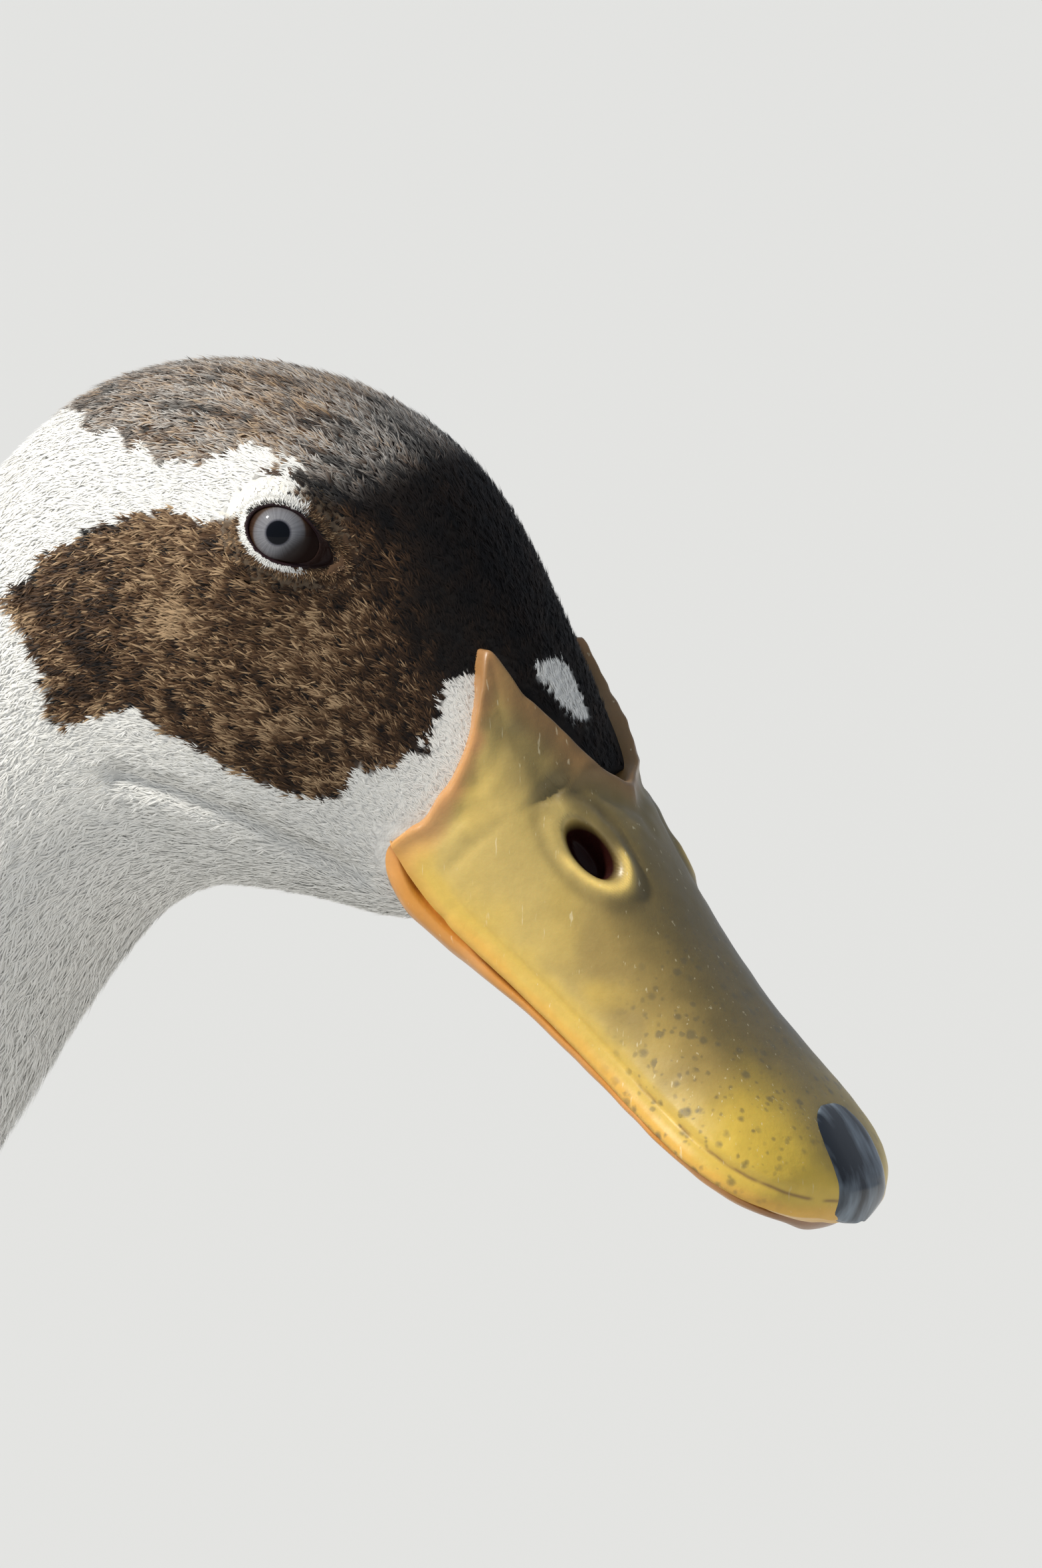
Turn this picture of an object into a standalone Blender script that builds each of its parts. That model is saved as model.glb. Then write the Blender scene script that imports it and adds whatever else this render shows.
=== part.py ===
"""Indian runner duck, life size, standing upright with its neck arched and its bill pointing down.

The duck faces +X with +Z up. The sizes below are in millimetres and become metres when a mesh is made.
The body is one smooth form, worked out from pairs of points on the outline of the back and of the
belly, and is divided into head, neck, torso and tail. The bill, eyes, wings, legs and feet are
separate pieces, set on that form with a narrow gap.
"""

import math

import bmesh
import bpy
import numpy as np
from mathutils import Vector

MM = 0.001
GAP = 0.3
SAME_POINT = 0.001
SIDES = {"left": 1, "right": -1}
# How far the duck is moved forward so that its length is centred over the origin
CENTRE_SHIFT = 8.0

# The feather point on the ridge of the bill, from which the head's outline is measured
HEAD_X = 163.5
HEAD_Z = 535.0

# Head outline: (top x, top z, under x, under z, half width, height of the widest part, fullness)
# measured from the feather point, from the face back to the nape
HEAD_SECTIONS = [
    (0.0, 0.0, -17.5, -15.0, 9.6, 0.40, 2.9),
    (-7.0, 14.1, -22.5, -15.0, 12.1, 0.40, 2.6),
    (-15.4, 26.9, -29.0, -13.8, 15.6, 0.40, 2.4),
    (-26.6, 34.3, -36.0, -13.1, 18.3, 0.41, 2.3),
    (-40.5, 37.0, -42.5, -13.5, 19.5, 0.44, 2.15),
    (-54.0, 34.0, -48.5, -16.2, 19.9, 0.46, 2.1),
    (-65.0, 25.0, -53.0, -20.3, 19.8, 0.48, 2.05),
    (-74.5, 15.0, -57.5, -26.0, 19.4, 0.49, 2.0),
    (-83.0, 3.5, -62.2, -32.8, 18.9, 0.5, 2.0),
]

# Neck outline, measured as above: (back x, back z, front x, front z, half width)
NECK_SECTIONS = [
    (-91.0, -9.5, -67.2, -40.0, 18.4),
    (-99.0, -28.5, -72.5, -50.0, 17.9),
    (-105.5, -51.0, -76.0, -62.5, 17.5),
    (-110.0, -76.0, -77.5, -80.5, 17.4),
    (-113.0, -101.0, -77.0, -103.0, 18.2),
    (-118.0, -125.0, -75.5, -132.0, 20.8),
    (-127.0, -149.0, -75.0, -167.0, 25.4),
]

# Torso outline, on the ground frame: (back x, back z, belly x, belly z, half width)
TORSO_SECTIONS = [
    (20.0, 362.0, 87.0, 330.0, 32.0),
    (5.0, 332.0, 88.0, 290.0, 40.0),
    (-13.0, 297.0, 82.0, 248.0, 46.0),
    (-32.0, 258.0, 69.0, 205.0, 50.0),
    (-51.0, 220.0, 53.0, 165.0, 51.5),
    (-69.0, 185.0, 32.0, 131.0, 50.0),
    (-86.0, 155.0, 4.0, 107.0, 46.0),
    (-101.0, 132.0, -27.0, 92.0, 39.0),
    (-113.0, 116.0, -58.0, 83.0, 31.5),
    (-124.0, 104.5, -90.0, 76.5, 25.0),
    (-134.0, 97.0, -119.0, 72.5, 20.0),
]
BODY_FULLNESS = 2.1
BODY_WIDEST = 0.5


def spline(keys, values):
    """A natural cubic curve through values at keys, as a function of the key."""
    keys = np.array(keys, float)
    values = np.array(values, float)
    steps = np.diff(keys)
    slopes = (np.diff(values, axis=0).T / steps).T
    count = len(keys)
    system = np.eye(count)
    right = np.zeros_like(values)
    for i in range(1, count - 1):
        system[i, i - 1 : i + 2] = steps[i - 1], 2 * (steps[i - 1] + steps[i]), steps[i]
        right[i] = 6 * (slopes[i] - slopes[i - 1])
    bends = np.linalg.solve(system, right)

    def at(key):
        key = np.clip(np.asarray(key, float), keys[0], keys[-1])
        i = np.clip(np.searchsorted(keys, key, side="right") - 1, 0, count - 2)
        step = steps[i]
        low = (keys[i + 1] - key) / step
        high = 1 - low
        extra = tuple([None] * (values.ndim - 1))
        low, high, step = (v[(...,) + extra] for v in (low, high, step))
        curve = (low**3 - low) * bends[i] + (high**3 - high) * bends[i + 1]
        return low * values[i] + high * values[i + 1] + curve * step**2 / 6

    return at


def body_stations():
    """The body's cross-sections as rows of back x z, belly x z, half width, widest height, fullness."""
    rows = []
    for top_x, top_z, low_x, low_z, half, widest, full in HEAD_SECTIONS:
        rows.append((HEAD_X + top_x, HEAD_Z + top_z, HEAD_X + low_x, HEAD_Z + low_z, half, widest, full))
    for top_x, top_z, low_x, low_z, half in NECK_SECTIONS:
        place = HEAD_X + top_x, HEAD_Z + top_z, HEAD_X + low_x, HEAD_Z + low_z
        rows.append((*place, half, BODY_WIDEST, 2.0))
    for row in TORSO_SECTIONS:
        rows.append((*row, BODY_WIDEST, BODY_FULLNESS))
    return np.array(rows)


STATIONS = body_stations()
CENTRES = (STATIONS[:, 0:2] + STATIONS[:, 2:4]) / 2
RUN = np.concatenate([[0], np.cumsum(np.linalg.norm(np.diff(CENTRES, axis=0), axis=1))])
FIRST_NECK = len(HEAD_SECTIONS)
FIRST_TORSO = FIRST_NECK + len(NECK_SECTIONS)
ALONG = RUN - RUN[FIRST_TORSO]
FACE = ALONG[0]
NAPE = ALONG[FIRST_NECK]
SHOULDER = ALONG[FIRST_TORSO - 1] + 8
RUMP = ALONG[-1]
SHAPE = spline(ALONG, STATIONS)


def section_points(along, around):
    """Points of the body's surface. Along is mm from the shoulder, around is 0 at the back, pi at the belly."""
    row = SHAPE(along)
    back = np.stack([row[..., 0], np.zeros_like(row[..., 0]), row[..., 1]], -1)
    belly = np.stack([row[..., 2], np.zeros_like(row[..., 2]), row[..., 3]], -1)
    centre = belly + (back - belly) * row[..., 5, None]
    power = 2 / row[..., 6]
    up = np.sign(np.cos(around)) * np.abs(np.cos(around)) ** power
    out = np.sign(np.sin(around)) * np.abs(np.sin(around)) ** power
    reach = np.where(up[..., None] > 0, back - centre, centre - belly)
    side = np.zeros_like(centre)
    side[..., 1] = row[..., 4] * out
    return centre + reach * up[..., None] + side


def body_frame(along, around):
    """(points, outward normals, directions towards the tail) on the body's surface."""
    along, around = np.broadcast_arrays(np.asarray(along, float), np.asarray(around, float))
    tiny_run, tiny_turn = 0.5, 0.02
    points = section_points(along, around)
    tailward = section_points(along + tiny_run, around) - section_points(along - tiny_run, around)
    turning = section_points(along, around + tiny_turn) - section_points(along, around - tiny_turn)
    normals = np.cross(turning, tailward)
    normals /= np.linalg.norm(normals, axis=-1, keepdims=True) + 1e-12
    tailward /= np.linalg.norm(tailward, axis=-1, keepdims=True) + 1e-12
    return points, normals, tailward


def ring_angles(count):
    """Angles round the body, starting halfway between two points so that no point sits on the ridge."""
    return np.linspace(0, 2 * math.pi, count, endpoint=False)


def metres(point):
    return Vector((point[0] + CENTRE_SHIFT, point[1], point[2])) * MM


def mesh_object(name, points, faces):
    """A mesh object from points in millimetres."""
    mesh = bpy.data.meshes.new(name)
    mesh.from_pydata([metres(p) for p in points], [], faces)
    mesh.validate()
    made = bpy.data.objects.new(name, mesh)
    bpy.context.scene.collection.objects.link(made)
    return made


def loft(name, rings):
    """A closed solid through rings of equal length, with a fan over each end."""
    count = len(rings[0])
    points = [p for ring in rings for p in ring]
    faces = []
    for i in range(len(rings) - 1):
        for j in range(count):
            k = (j + 1) % count
            faces.append((i * count + j, i * count + k, (i + 1) * count + k, (i + 1) * count + j))
    for ring, first in ((0, True), (len(rings) - 1, False)):
        points.append(np.mean(rings[ring], axis=0))
        hub = len(points) - 1
        for j in range(count):
            a, b = ring * count + j, ring * count + (j + 1) % count
            faces.append((hub, b, a) if first else (hub, a, b))
    made = mesh_object(name, points, faces)
    face_outwards(made)
    return made


def face_outwards(made):
    shape = bmesh.new()
    shape.from_mesh(made.data)
    bmesh.ops.recalc_face_normals(shape, faces=shape.faces)
    if shape.calc_volume(signed=True) < 0:
        bmesh.ops.reverse_faces(shape, faces=shape.faces)
    shape.to_mesh(made.data)
    shape.free()


def boolean(made, other, operation, solver="MANIFOLD"):
    """Cuts, joins or crosses made with other, an object or a collection, and removes other."""
    change = made.modifiers.new(operation.lower(), "BOOLEAN")
    change.operation = operation
    change.solver = solver
    if isinstance(other, bpy.types.Collection):
        change.operand_type = "COLLECTION"
        change.collection = other
    else:
        change.object = other
    graph = bpy.context.evaluated_depsgraph_get()
    result = bpy.data.meshes.new_from_object(made.evaluated_get(graph))
    made.modifiers.clear()
    old = made.data
    made.data = result
    bpy.data.meshes.remove(old)
    if isinstance(other, bpy.types.Collection):
        for piece in list(other.objects):
            bpy.data.objects.remove(piece)
        bpy.data.collections.remove(other)
    else:
        bpy.data.objects.remove(other)
    return made


def join(made, pieces, solver="MANIFOLD"):
    """Fuses pieces into made by one union on their collection."""
    group = bpy.data.collections.new(made.name + "_pieces")
    bpy.context.scene.collection.children.link(group)
    for piece in pieces:
        bpy.context.scene.collection.objects.unlink(piece)
        group.objects.link(piece)
    boolean(made, group, "UNION", solver)
    keep_largest(made)
    return made


def keep_largest(made):
    """Drops every closed surface but the largest, such as a scrap or a sealed hollow."""
    shape = bmesh.new()
    shape.from_mesh(made.data)
    bmesh.ops.triangulate(shape, faces=shape.faces)
    left = set(shape.faces)
    groups = []
    while left:
        group = [left.pop()]
        for face in group:
            sides = [edge.link_faces for edge in face.edges if len(edge.link_faces) == 2]
            beside = {other for pair in sides for other in pair} & left
            left -= beside
            group.extend(beside)
        groups.append(group)
    groups.sort(key=len)
    scraps = [face for group in groups[:-1] for face in group]
    bmesh.ops.delete(shape, geom=scraps, context="FACES")
    shape.to_mesh(made.data)
    shape.free()


def prism(name, outline, half_width):
    """A solid with the side outline of (x, z) points, reaching half_width each way across the duck."""
    shape = bmesh.new()
    corners = [shape.verts.new(metres((x, -half_width, z))) for x, z in outline]
    face = shape.faces.new(corners)
    raised = bmesh.ops.extrude_face_region(shape, geom=[face])
    moved = [item for item in raised["geom"] if isinstance(item, bmesh.types.BMVert)]
    bmesh.ops.translate(shape, verts=moved, vec=(0, 2 * half_width * MM, 0))
    bmesh.ops.triangulate(shape, faces=[f for f in shape.faces if len(f.verts) > 4])
    mesh = bpy.data.meshes.new(name)
    shape.to_mesh(mesh)
    shape.free()
    made = bpy.data.objects.new(name, mesh)
    bpy.context.scene.collection.objects.link(made)
    face_outwards(made)
    return made


def grown(outline, margin):
    """The outline moved out by margin all round, for an outline listed anticlockwise in x and z."""
    points = np.array(outline, float)
    ahead = np.roll(points, -1, axis=0) - points
    ahead /= np.linalg.norm(ahead, axis=1, keepdims=True)
    behind = np.roll(ahead, 1, axis=0)
    out = lambda d: np.stack([d[:, 1], -d[:, 0]], 1)
    mean = out(ahead) + out(behind)
    size = (mean * mean).sum(1, keepdims=True)
    return points + margin * 2 * mean / size


def ellipsoid(name, centre, radii, segments=20, rings=12):
    shape = bmesh.new()
    bmesh.ops.create_uvsphere(shape, u_segments=segments, v_segments=rings, radius=1)
    for vert in shape.verts:
        vert.co = metres([centre[i] + vert.co[i] * radii[i] for i in range(3)])
    mesh = bpy.data.meshes.new(name)
    shape.to_mesh(mesh)
    shape.free()
    made = bpy.data.objects.new(name, mesh)
    bpy.context.scene.collection.objects.link(made)
    return made


def body_length(name, start, end, spacing, ring_count, lift=0.0):
    """A length of the body between two distances along it."""
    count = max(3, round((end - start) / spacing) + 1)
    rings = []
    for along in np.linspace(start, end, count):
        points, normals, _ = body_frame(np.full(ring_count, along), ring_angles(ring_count))
        rings.append(points + normals * lift)
    return loft(name, rings)


# The torso's own rings, which the pieces that lie on it follow
TORSO_STEP = 19.0
TORSO_SIDES = 32


def grown_torso():
    """The torso with a gap all round it, to cut what lies on it clear."""
    return body_length("torso_cutter", SHOULDER + GAP / 2, RUMP, TORSO_STEP, TORSO_SIDES, GAP + 0.05)


def material(name, colour, roughness):
    made = bpy.data.materials.new(name)
    made.use_nodes = True
    shader = made.node_tree.nodes["Principled BSDF"]
    shader.inputs["Base Color"].default_value = (*colour, 1)
    shader.inputs["Roughness"].default_value = roughness
    shader.inputs["Metallic"].default_value = 0
    made.diffuse_color = (*colour, 1)
    return made


def finish(made, finish_material, parent):
    made.data.materials.clear()
    made.data.materials.append(finish_material)
    made.data.shade_smooth()
    made.data.set_sharp_from_angle(angle=math.radians(40))
    made.parent = parent
    return made


# The bill's own frame: along its edge from the corner of the mouth, and up towards its ridge
BILL_CORNER = (HEAD_X - 18.3, HEAD_Z - 5.5)
BILL_DOWN = math.radians(37)
BILL_LENGTH = 54.8
BILL_FORWARD = np.array([math.cos(BILL_DOWN), 0, -math.sin(BILL_DOWN)])
BILL_UP = np.array([math.sin(BILL_DOWN), 0, math.cos(BILL_DOWN)])

# Upper bill: (mm from the corner of the mouth, half width, ridge height, edge height, fullness)
UPPER_BILL = [
    (-8.0, 12.0, 28.0, 0.6, 3.8),
    (0.0, 11.7, 21.6, -0.1, 3.5),
    (6.0, 11.3, 18.2, -2.0, 3.1),
    (11.3, 11.0, 15.4, -2.8, 2.8),
    (17.0, 10.8, 13.1, -3.0, 2.55),
    (24.0, 10.8, 10.4, -3.2, 2.4),
    (31.0, 11.1, 8.0, -3.6, 2.35),
    (38.0, 12.1, 6.3, -3.8, 2.3),
    (44.0, 12.9, 5.0, -3.5, 2.3),
    (49.0, 12.0, 3.8, -2.9, 2.3),
    (52.2, 9.4, 2.7, -2.3, 2.2),
    (54.1, 5.7, 1.7, -1.8, 2.1),
    (54.8, 2.6, 0.8, -1.5, 2.0),
]
RIM = 0.9

# Lower bill: (mm from the corner of the mouth, half width, depth under the edge)
LOWER_BILL = [
    (-2.0, 10.6, 6.2),
    (6.0, 10.2, 4.1),
    (14.0, 9.9, 3.1),
    (24.0, 9.8, 2.5),
    (34.0, 10.4, 2.2),
    (42.0, 11.1, 2.0),
    (47.5, 10.2, 1.8),
    (51.5, 6.8, 1.6),
    (53.0, 3.0, 1.3),
]

# Where feathers end on the face, measured from the feather point, from the point on the ridge
# back along the forehead to the tip of the bill's horn and down to the corner of the mouth and chin
FACE_EDGE = [
    (0.0, -0.4),
    (-1.4, 1.8),
    (-2.9, 3.9),
    (-4.4, 5.5),
    (-5.9, 7.1),
    (-7.3, 9.4),
    (-8.9, 11.4),
    (-8.6, 8.0),
    (-8.7, 5.6),
    (-9.2, 3.0),
    (-10.0, 0.7),
    (-11.3, -1.8),
    (-13.3, -3.5),
    (-15.6, -4.5),
    (-18.8, -5.3),
    (-19.2, -8.6),
    (-17.2, -14.6),
]
FAR = 60.0


def bill_point(along, out, up):
    corner = np.array([BILL_CORNER[0], 0, BILL_CORNER[1]])
    return corner + BILL_FORWARD * along + BILL_UP * up + np.array([0, out, 0])


def face_region():
    """The side outline of everything feathered, anticlockwise: behind and above the face's edge."""
    edge = [(HEAD_X + x, HEAD_Z + z) for x, z in FACE_EDGE]
    ridge = edge[0]
    above = (ridge[0] + FAR * BILL_UP[0], ridge[1] + FAR * BILL_UP[2])
    behind_above = (ridge[0] - 2 * FAR, above[1])
    chin = (edge[-1][0], edge[-1][1] - FAR)
    behind_below = (ridge[0] - 2 * FAR, chin[1])
    return [chin, *reversed(edge), above, behind_above, behind_below]


def upper_bill_rings():
    shape = spline([row[0] for row in UPPER_BILL], [row[1:] for row in UPPER_BILL])
    first, last = UPPER_BILL[0][0], UPPER_BILL[-1][0]
    stations = np.concatenate([np.linspace(first, 47, 12), [49.5, 51.5, 53, 54.1, last]])
    rings = []
    arch = np.linspace(-math.pi / 2, math.pi / 2, 17)
    for along in stations:
        half, ridge, edge, full = shape(along)
        power = 2 / full
        ring = []
        for turn in arch:
            out = half * np.sign(math.sin(turn)) * abs(math.sin(turn)) ** power
            up = edge + (ridge - edge) * abs(math.cos(turn)) ** power
            ring.append(bill_point(along, out, up))
        for share in (0.94, 0.5, -0.5, -0.94):
            ring.append(bill_point(along, half * share, edge - RIM))
        rings.append(ring)
    tip = bill_point(BILL_LENGTH + 0.4, 0, -0.6)
    rings.append([tip + (np.array(p) - tip) * 0.35 for p in rings[-1]])
    return rings


def lower_bill_rings():
    shape = spline([row[0] for row in LOWER_BILL], [row[1:] for row in LOWER_BILL])
    edge = spline([row[0] for row in UPPER_BILL], [row[3] for row in UPPER_BILL])
    rings = []
    bowl = np.linspace(-math.pi / 2, math.pi / 2, 13)
    for along in np.concatenate([np.linspace(LOWER_BILL[0][0], 45, 9), [48, 50, 51.8, 53]]):
        half, depth = shape(along)
        top = edge(along) - RIM - GAP
        ring = []
        for turn in bowl:
            out = half * np.sign(math.sin(turn)) * abs(math.sin(turn)) ** 0.8
            ring.append(bill_point(along, out, top - 0.5 - depth * math.cos(turn) ** 0.8))
        for share in (0.96, 0.3, -0.3, -0.96):
            ring.append(bill_point(along, half * share, top))
        rings.append(ring)
    return rings


# Nostril: centre from the corner of the mouth, and half length and half height of the opening
NOSTRIL_ALONG = 17.5
NOSTRIL_UP = 10.4
NOSTRIL_LONG = 3.7
NOSTRIL_HIGH = 1.5
# Nail at the tip of the upper bill
NAIL_LENGTH = 8.6
NAIL_HALF = 4.6


def nostril_cutter():
    outline = []
    for turn in np.linspace(0, 2 * math.pi, 14, endpoint=False):
        point = bill_point(
            NOSTRIL_ALONG + NOSTRIL_LONG * math.cos(turn), 0, NOSTRIL_UP + NOSTRIL_HIGH * math.sin(turn)
        )
        outline.append((point[0], point[2]))
    return prism("nostril_cutter", outline, 15)


def nail_cutter(margin):
    """An upright plug over the tip of the bill, rounded at the back, that parts the nail."""
    rings = []
    start = BILL_LENGTH - NAIL_LENGTH - margin
    half = NAIL_HALF + margin
    outline = []
    for turn in np.linspace(0, math.pi, 9):
        outline.append((start + NAIL_HALF * (1 - math.sin(turn)), half * math.cos(turn)))
    outline += [(BILL_LENGTH + 6, -half), (BILL_LENGTH + 6, half)]
    for up in (-2.6 - margin, 20):
        rings.append([bill_point(along, out, up) for along, out in outline])
    return loft("nail_cutter", rings)


def make_bill():
    upper = loft("bill_upper", upper_bill_rings())
    boolean(upper, prism("feather_cutter", grown(face_region(), GAP), 40), "DIFFERENCE")
    boolean(upper, nostril_cutter(), "DIFFERENCE")
    nail = upper.copy()
    nail.data = upper.data.copy()
    nail.name = nail.data.name = "bill_nail"
    bpy.context.scene.collection.objects.link(nail)
    boolean(nail, nail_cutter(0), "INTERSECT")
    boolean(upper, nail_cutter(GAP), "DIFFERENCE")
    lower = loft("bill_lower", lower_bill_rings())
    boolean(lower, prism("chin_cutter", grown(face_region(), GAP), 40), "DIFFERENCE")
    for made in (upper, nail, lower):
        keep_largest(made)
    return upper, nail, lower


# Eye: centre from the feather point, its radius and the way it looks, on the left side
EYE_X = -27.5
EYE_Z = 21.1
EYE_DEEP = 12.6
EYE_RADIUS = 5.0
GAZE = np.array([0.33, 0.93, 0.12]) / np.linalg.norm([0.33, 0.93, 0.12])
# Lids: their thickness over the ball, and the opening between them, longer than high
LID_THICK = 0.75
OPENING_LONG = 4.1
OPENING_HIGH = 2.95
OPENING_CORNER = 0.9
OPENING_TILT = math.radians(-24)


def eye_centre(side):
    return np.array([HEAD_X + EYE_X, side * EYE_DEEP, HEAD_Z + EYE_Z])


def lid_opening(side):
    """A plug with the outline of the eye's opening, drawn out to a corner in front."""
    flip = np.array([1, side, 1])
    ahead = np.cross(GAZE, [0, 0, 1.0])
    ahead *= math.copysign(1, ahead[0]) / np.linalg.norm(ahead)
    above = np.cross(GAZE, ahead)
    above *= math.copysign(1, above[2])
    rings = []
    for reach in (2.0, EYE_RADIUS + 4):
        ring = []
        for turn in ring_angles(18):
            along = OPENING_LONG * math.cos(turn) + OPENING_CORNER * max(0, math.cos(turn)) ** 4
            high = OPENING_HIGH * math.sin(turn)
            x = along * math.cos(OPENING_TILT) - high * math.sin(OPENING_TILT)
            z = along * math.sin(OPENING_TILT) + high * math.cos(OPENING_TILT)
            ring.append(eye_centre(side) + (GAZE * reach + ahead * x + above * z) * flip)
        rings.append(ring)
    return loft("lid_opening", rings)


def make_head():
    head = body_length("head", FACE, NAPE - GAP / 2, 6.4, 24)
    lid = EYE_RADIUS + GAP + LID_THICK
    join(head, [ellipsoid("lid", eye_centre(side), [lid] * 3, 16, 10) for side in SIDES.values()])
    boolean(head, prism("face_cutter", face_region(), 40), "INTERSECT")
    for side in SIDES.values():
        boolean(head, lid_opening(side), "DIFFERENCE")
        boolean(head, ellipsoid("socket", eye_centre(side), [EYE_RADIUS + GAP] * 3, 16, 10), "DIFFERENCE")
    keep_largest(head)
    return head


# Wing: distances are mm along the body from the shoulder, angles are degrees round it from the back
WING_LIFT = 0.6
WING_SUNK = -2.0
WING_OUTLINE = [
    (14.0, 50.0, 74.0),
    (24.0, 40.0, 90.0),
    (45.0, 32.0, 104.0),
    (85.0, 25.0, 112.0),
    (130.0, 20.0, 110.0),
    (175.0, 16.0, 96.0),
    (215.0, 13.0, 76.0),
    (245.0, 12.0, 52.0),
]
WING_THICK = 5.2
WING_EDGE = 1.0


def wing_outline(along):
    rows = np.array(WING_OUTLINE)
    edge = spline(rows[:, 0], np.radians(rows[:, 1:]))
    return edge(along)


WING_START = WING_OUTLINE[0][0]
WING_END = WING_OUTLINE[-1][0]


def wing_thickness(along, around):
    """The height of the folded wing's back over the body, thickest in front and low at its edges."""
    top, low = np.moveaxis(wing_outline(along), -1, 0)
    across = np.clip((around - top) / (low - top), 0, 1)
    down = np.clip((np.asarray(along, float) - WING_START) / (WING_END - WING_START), 0, 1)
    arch = np.sqrt(np.clip(4 * across * (1 - across), 0, 1))
    lengthwise = np.clip(down / 0.12, 0, 1) ** 0.5 * (1 - 0.75 * down)
    return WING_EDGE + WING_THICK * arch * lengthwise


def wing_point(along, around, above, side):
    """(point, outward normal, direction to the tail) on the wing's back, raised by above."""
    points, normals, tailward = body_frame(along, around)
    lift = WING_LIFT + wing_thickness(along, around) + above
    raised = points + normals * np.asarray(lift)[..., None]
    flip = np.array([1, side, 1])
    return raised * flip, normals * flip, tailward * flip


def wing_core(name, side):
    """The folded wing under its feathers: a plate that follows the body, thicker in front."""
    rings = []
    for along in np.linspace(WING_START, WING_END, 12):
        top, low = wing_outline(along)
        turns = np.linspace(top, low, 9)
        outer, _, _ = wing_point(np.full(9, along), turns, 0.0, side)
        points, normals, _ = body_frame(np.full(9, along), turns)
        inner = (points + normals * WING_SUNK) * np.array([1, side, 1])
        rings.append(list(outer) + list(inner[::-1]))
    return loft(name, rings)


VANE_SHAPE = [(0.0, 0.6), (0.45, 1.0), (0.85, 0.86), (1.0, 0.2)]


def vane(root, tip, width, thick, rise, tilt, side, place):
    """One feather from root to tip, each (along, around in degrees), on the surface that place gives.

    Rise is the height of its tip over that surface, and tilt lifts its lower edge over the next one.
    """
    sink = -1.2
    rings = []
    for share, wide in VANE_SHAPE:
        along = root[0] + (tip[0] - root[0]) * share
        around = math.radians(root[1] + (tip[1] - root[1]) * share)
        above = sink + (rise - sink) * min(1.0, share / 0.5) ** 0.8
        centre, normal, _ = place(along, around, above, side)
        ahead_along = along + (tip[0] - root[0]) * 0.02
        ahead_around = around + math.radians(tip[1] - root[1]) * 0.02
        ahead, _, _ = place(ahead_along, ahead_around, above, side)
        forward = (ahead - centre) / np.linalg.norm(ahead - centre)
        across = np.cross(normal, forward) * side
        across /= np.linalg.norm(across)
        half = width * wide / 2
        rings.append(
            [
                centre + across * half + normal * tilt,
                centre + normal * thick,
                centre - across * half - normal * 0.3 * tilt,
                centre - normal * thick * 0.4,
            ]
        )
    return loft("vane", rings)


def wing_feathers(side):
    """The wing's vanes in tiers: primaries, secondaries, tertials and two rows of coverts."""
    vanes = []
    for i in range(5):
        tip = (249 + 9.0 * i, 54 - 9.0 * i)
        vanes.append(vane((172 + 4 * i, 80 - 8 * i), tip, 15, 0.9, 0.4 + 0.25 * i, 0.5, side, wing_point))
    for i in range(5):
        tip = (126 + 25.0 * i, 107 - 0.9 * i**2 - 4.4 * i)
        vanes.append(vane((72 + 22 * i, 83 - 6 * i), tip, 33, 1.0, 1.0, 0.8, side, wing_point))
    for i in range(3):
        tip = (208 + 17 * i, 60 - 15 * i)
        vanes.append(vane((122 + 13 * i, 54 - 12 * i), tip, 26, 1.1, 1.9, 0.9, side, wing_point))
    for i in range(4):
        tip = (100 + 27 * i, 96 - 17.0 * i)
        vanes.append(vane((58 + 23 * i, 77 - 13.5 * i), tip, 36, 1.0, 2.0, 0.8, side, wing_point))
    for i in range(3):
        tip = (72 + 23 * i, 87 - 19 * i)
        vanes.append(vane((36 + 19 * i, 73 - 15 * i), tip, 34, 1.0, 2.8, 0.8, side, wing_point))
    return vanes


def mirrored(made, name):
    """The same solid on the duck's other side."""
    shape = bmesh.new()
    shape.from_mesh(made.data)
    bmesh.ops.scale(shape, vec=(1, -1, 1), verts=shape.verts)
    bmesh.ops.reverse_faces(shape, faces=shape.faces)
    data = bpy.data.meshes.new(name)
    shape.to_mesh(data)
    shape.free()
    twin = bpy.data.objects.new(name, data)
    bpy.context.scene.collection.objects.link(twin)
    return twin


def make_wings():
    right = wing_core("wing_right", SIDES["right"])
    join(right, wing_feathers(SIDES["right"]))
    boolean(right, grown_torso(), "DIFFERENCE")
    keep_largest(right)
    return right, mirrored(right, "wing_left")


# Tail: a flat wedge under the feathers, measured from the end of the torso
TAIL_DOWN = math.radians(20)
TAIL_LENGTH = 84.0
TAIL_FORWARD = np.array([-math.cos(TAIL_DOWN), 0, -math.sin(TAIL_DOWN)])
TAIL_UP = np.array([-math.sin(TAIL_DOWN), 0, math.cos(TAIL_DOWN)])
TAIL_SECTIONS = [
    (9.0, 12.0, 11.5, 20.5),
    (20.0, 10.0, 9.5, 21.0),
    (34.0, 7.6, 7.6, 20.5),
    (46.0, 4.4, 4.8, 17.5),
    (56.0, 2.2, 2.4, 12.0),
]
TAIL_FAN = 27.0


def tail_root():
    back, belly = STATIONS[-1][0:2], STATIONS[-1][2:4]
    middle = (back + belly) / 2
    return np.array([middle[0], 0, middle[1]])


def tail_point(along, out, up):
    return tail_root() + TAIL_FORWARD * along + TAIL_UP * up + np.array([0, out, 0])


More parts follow.
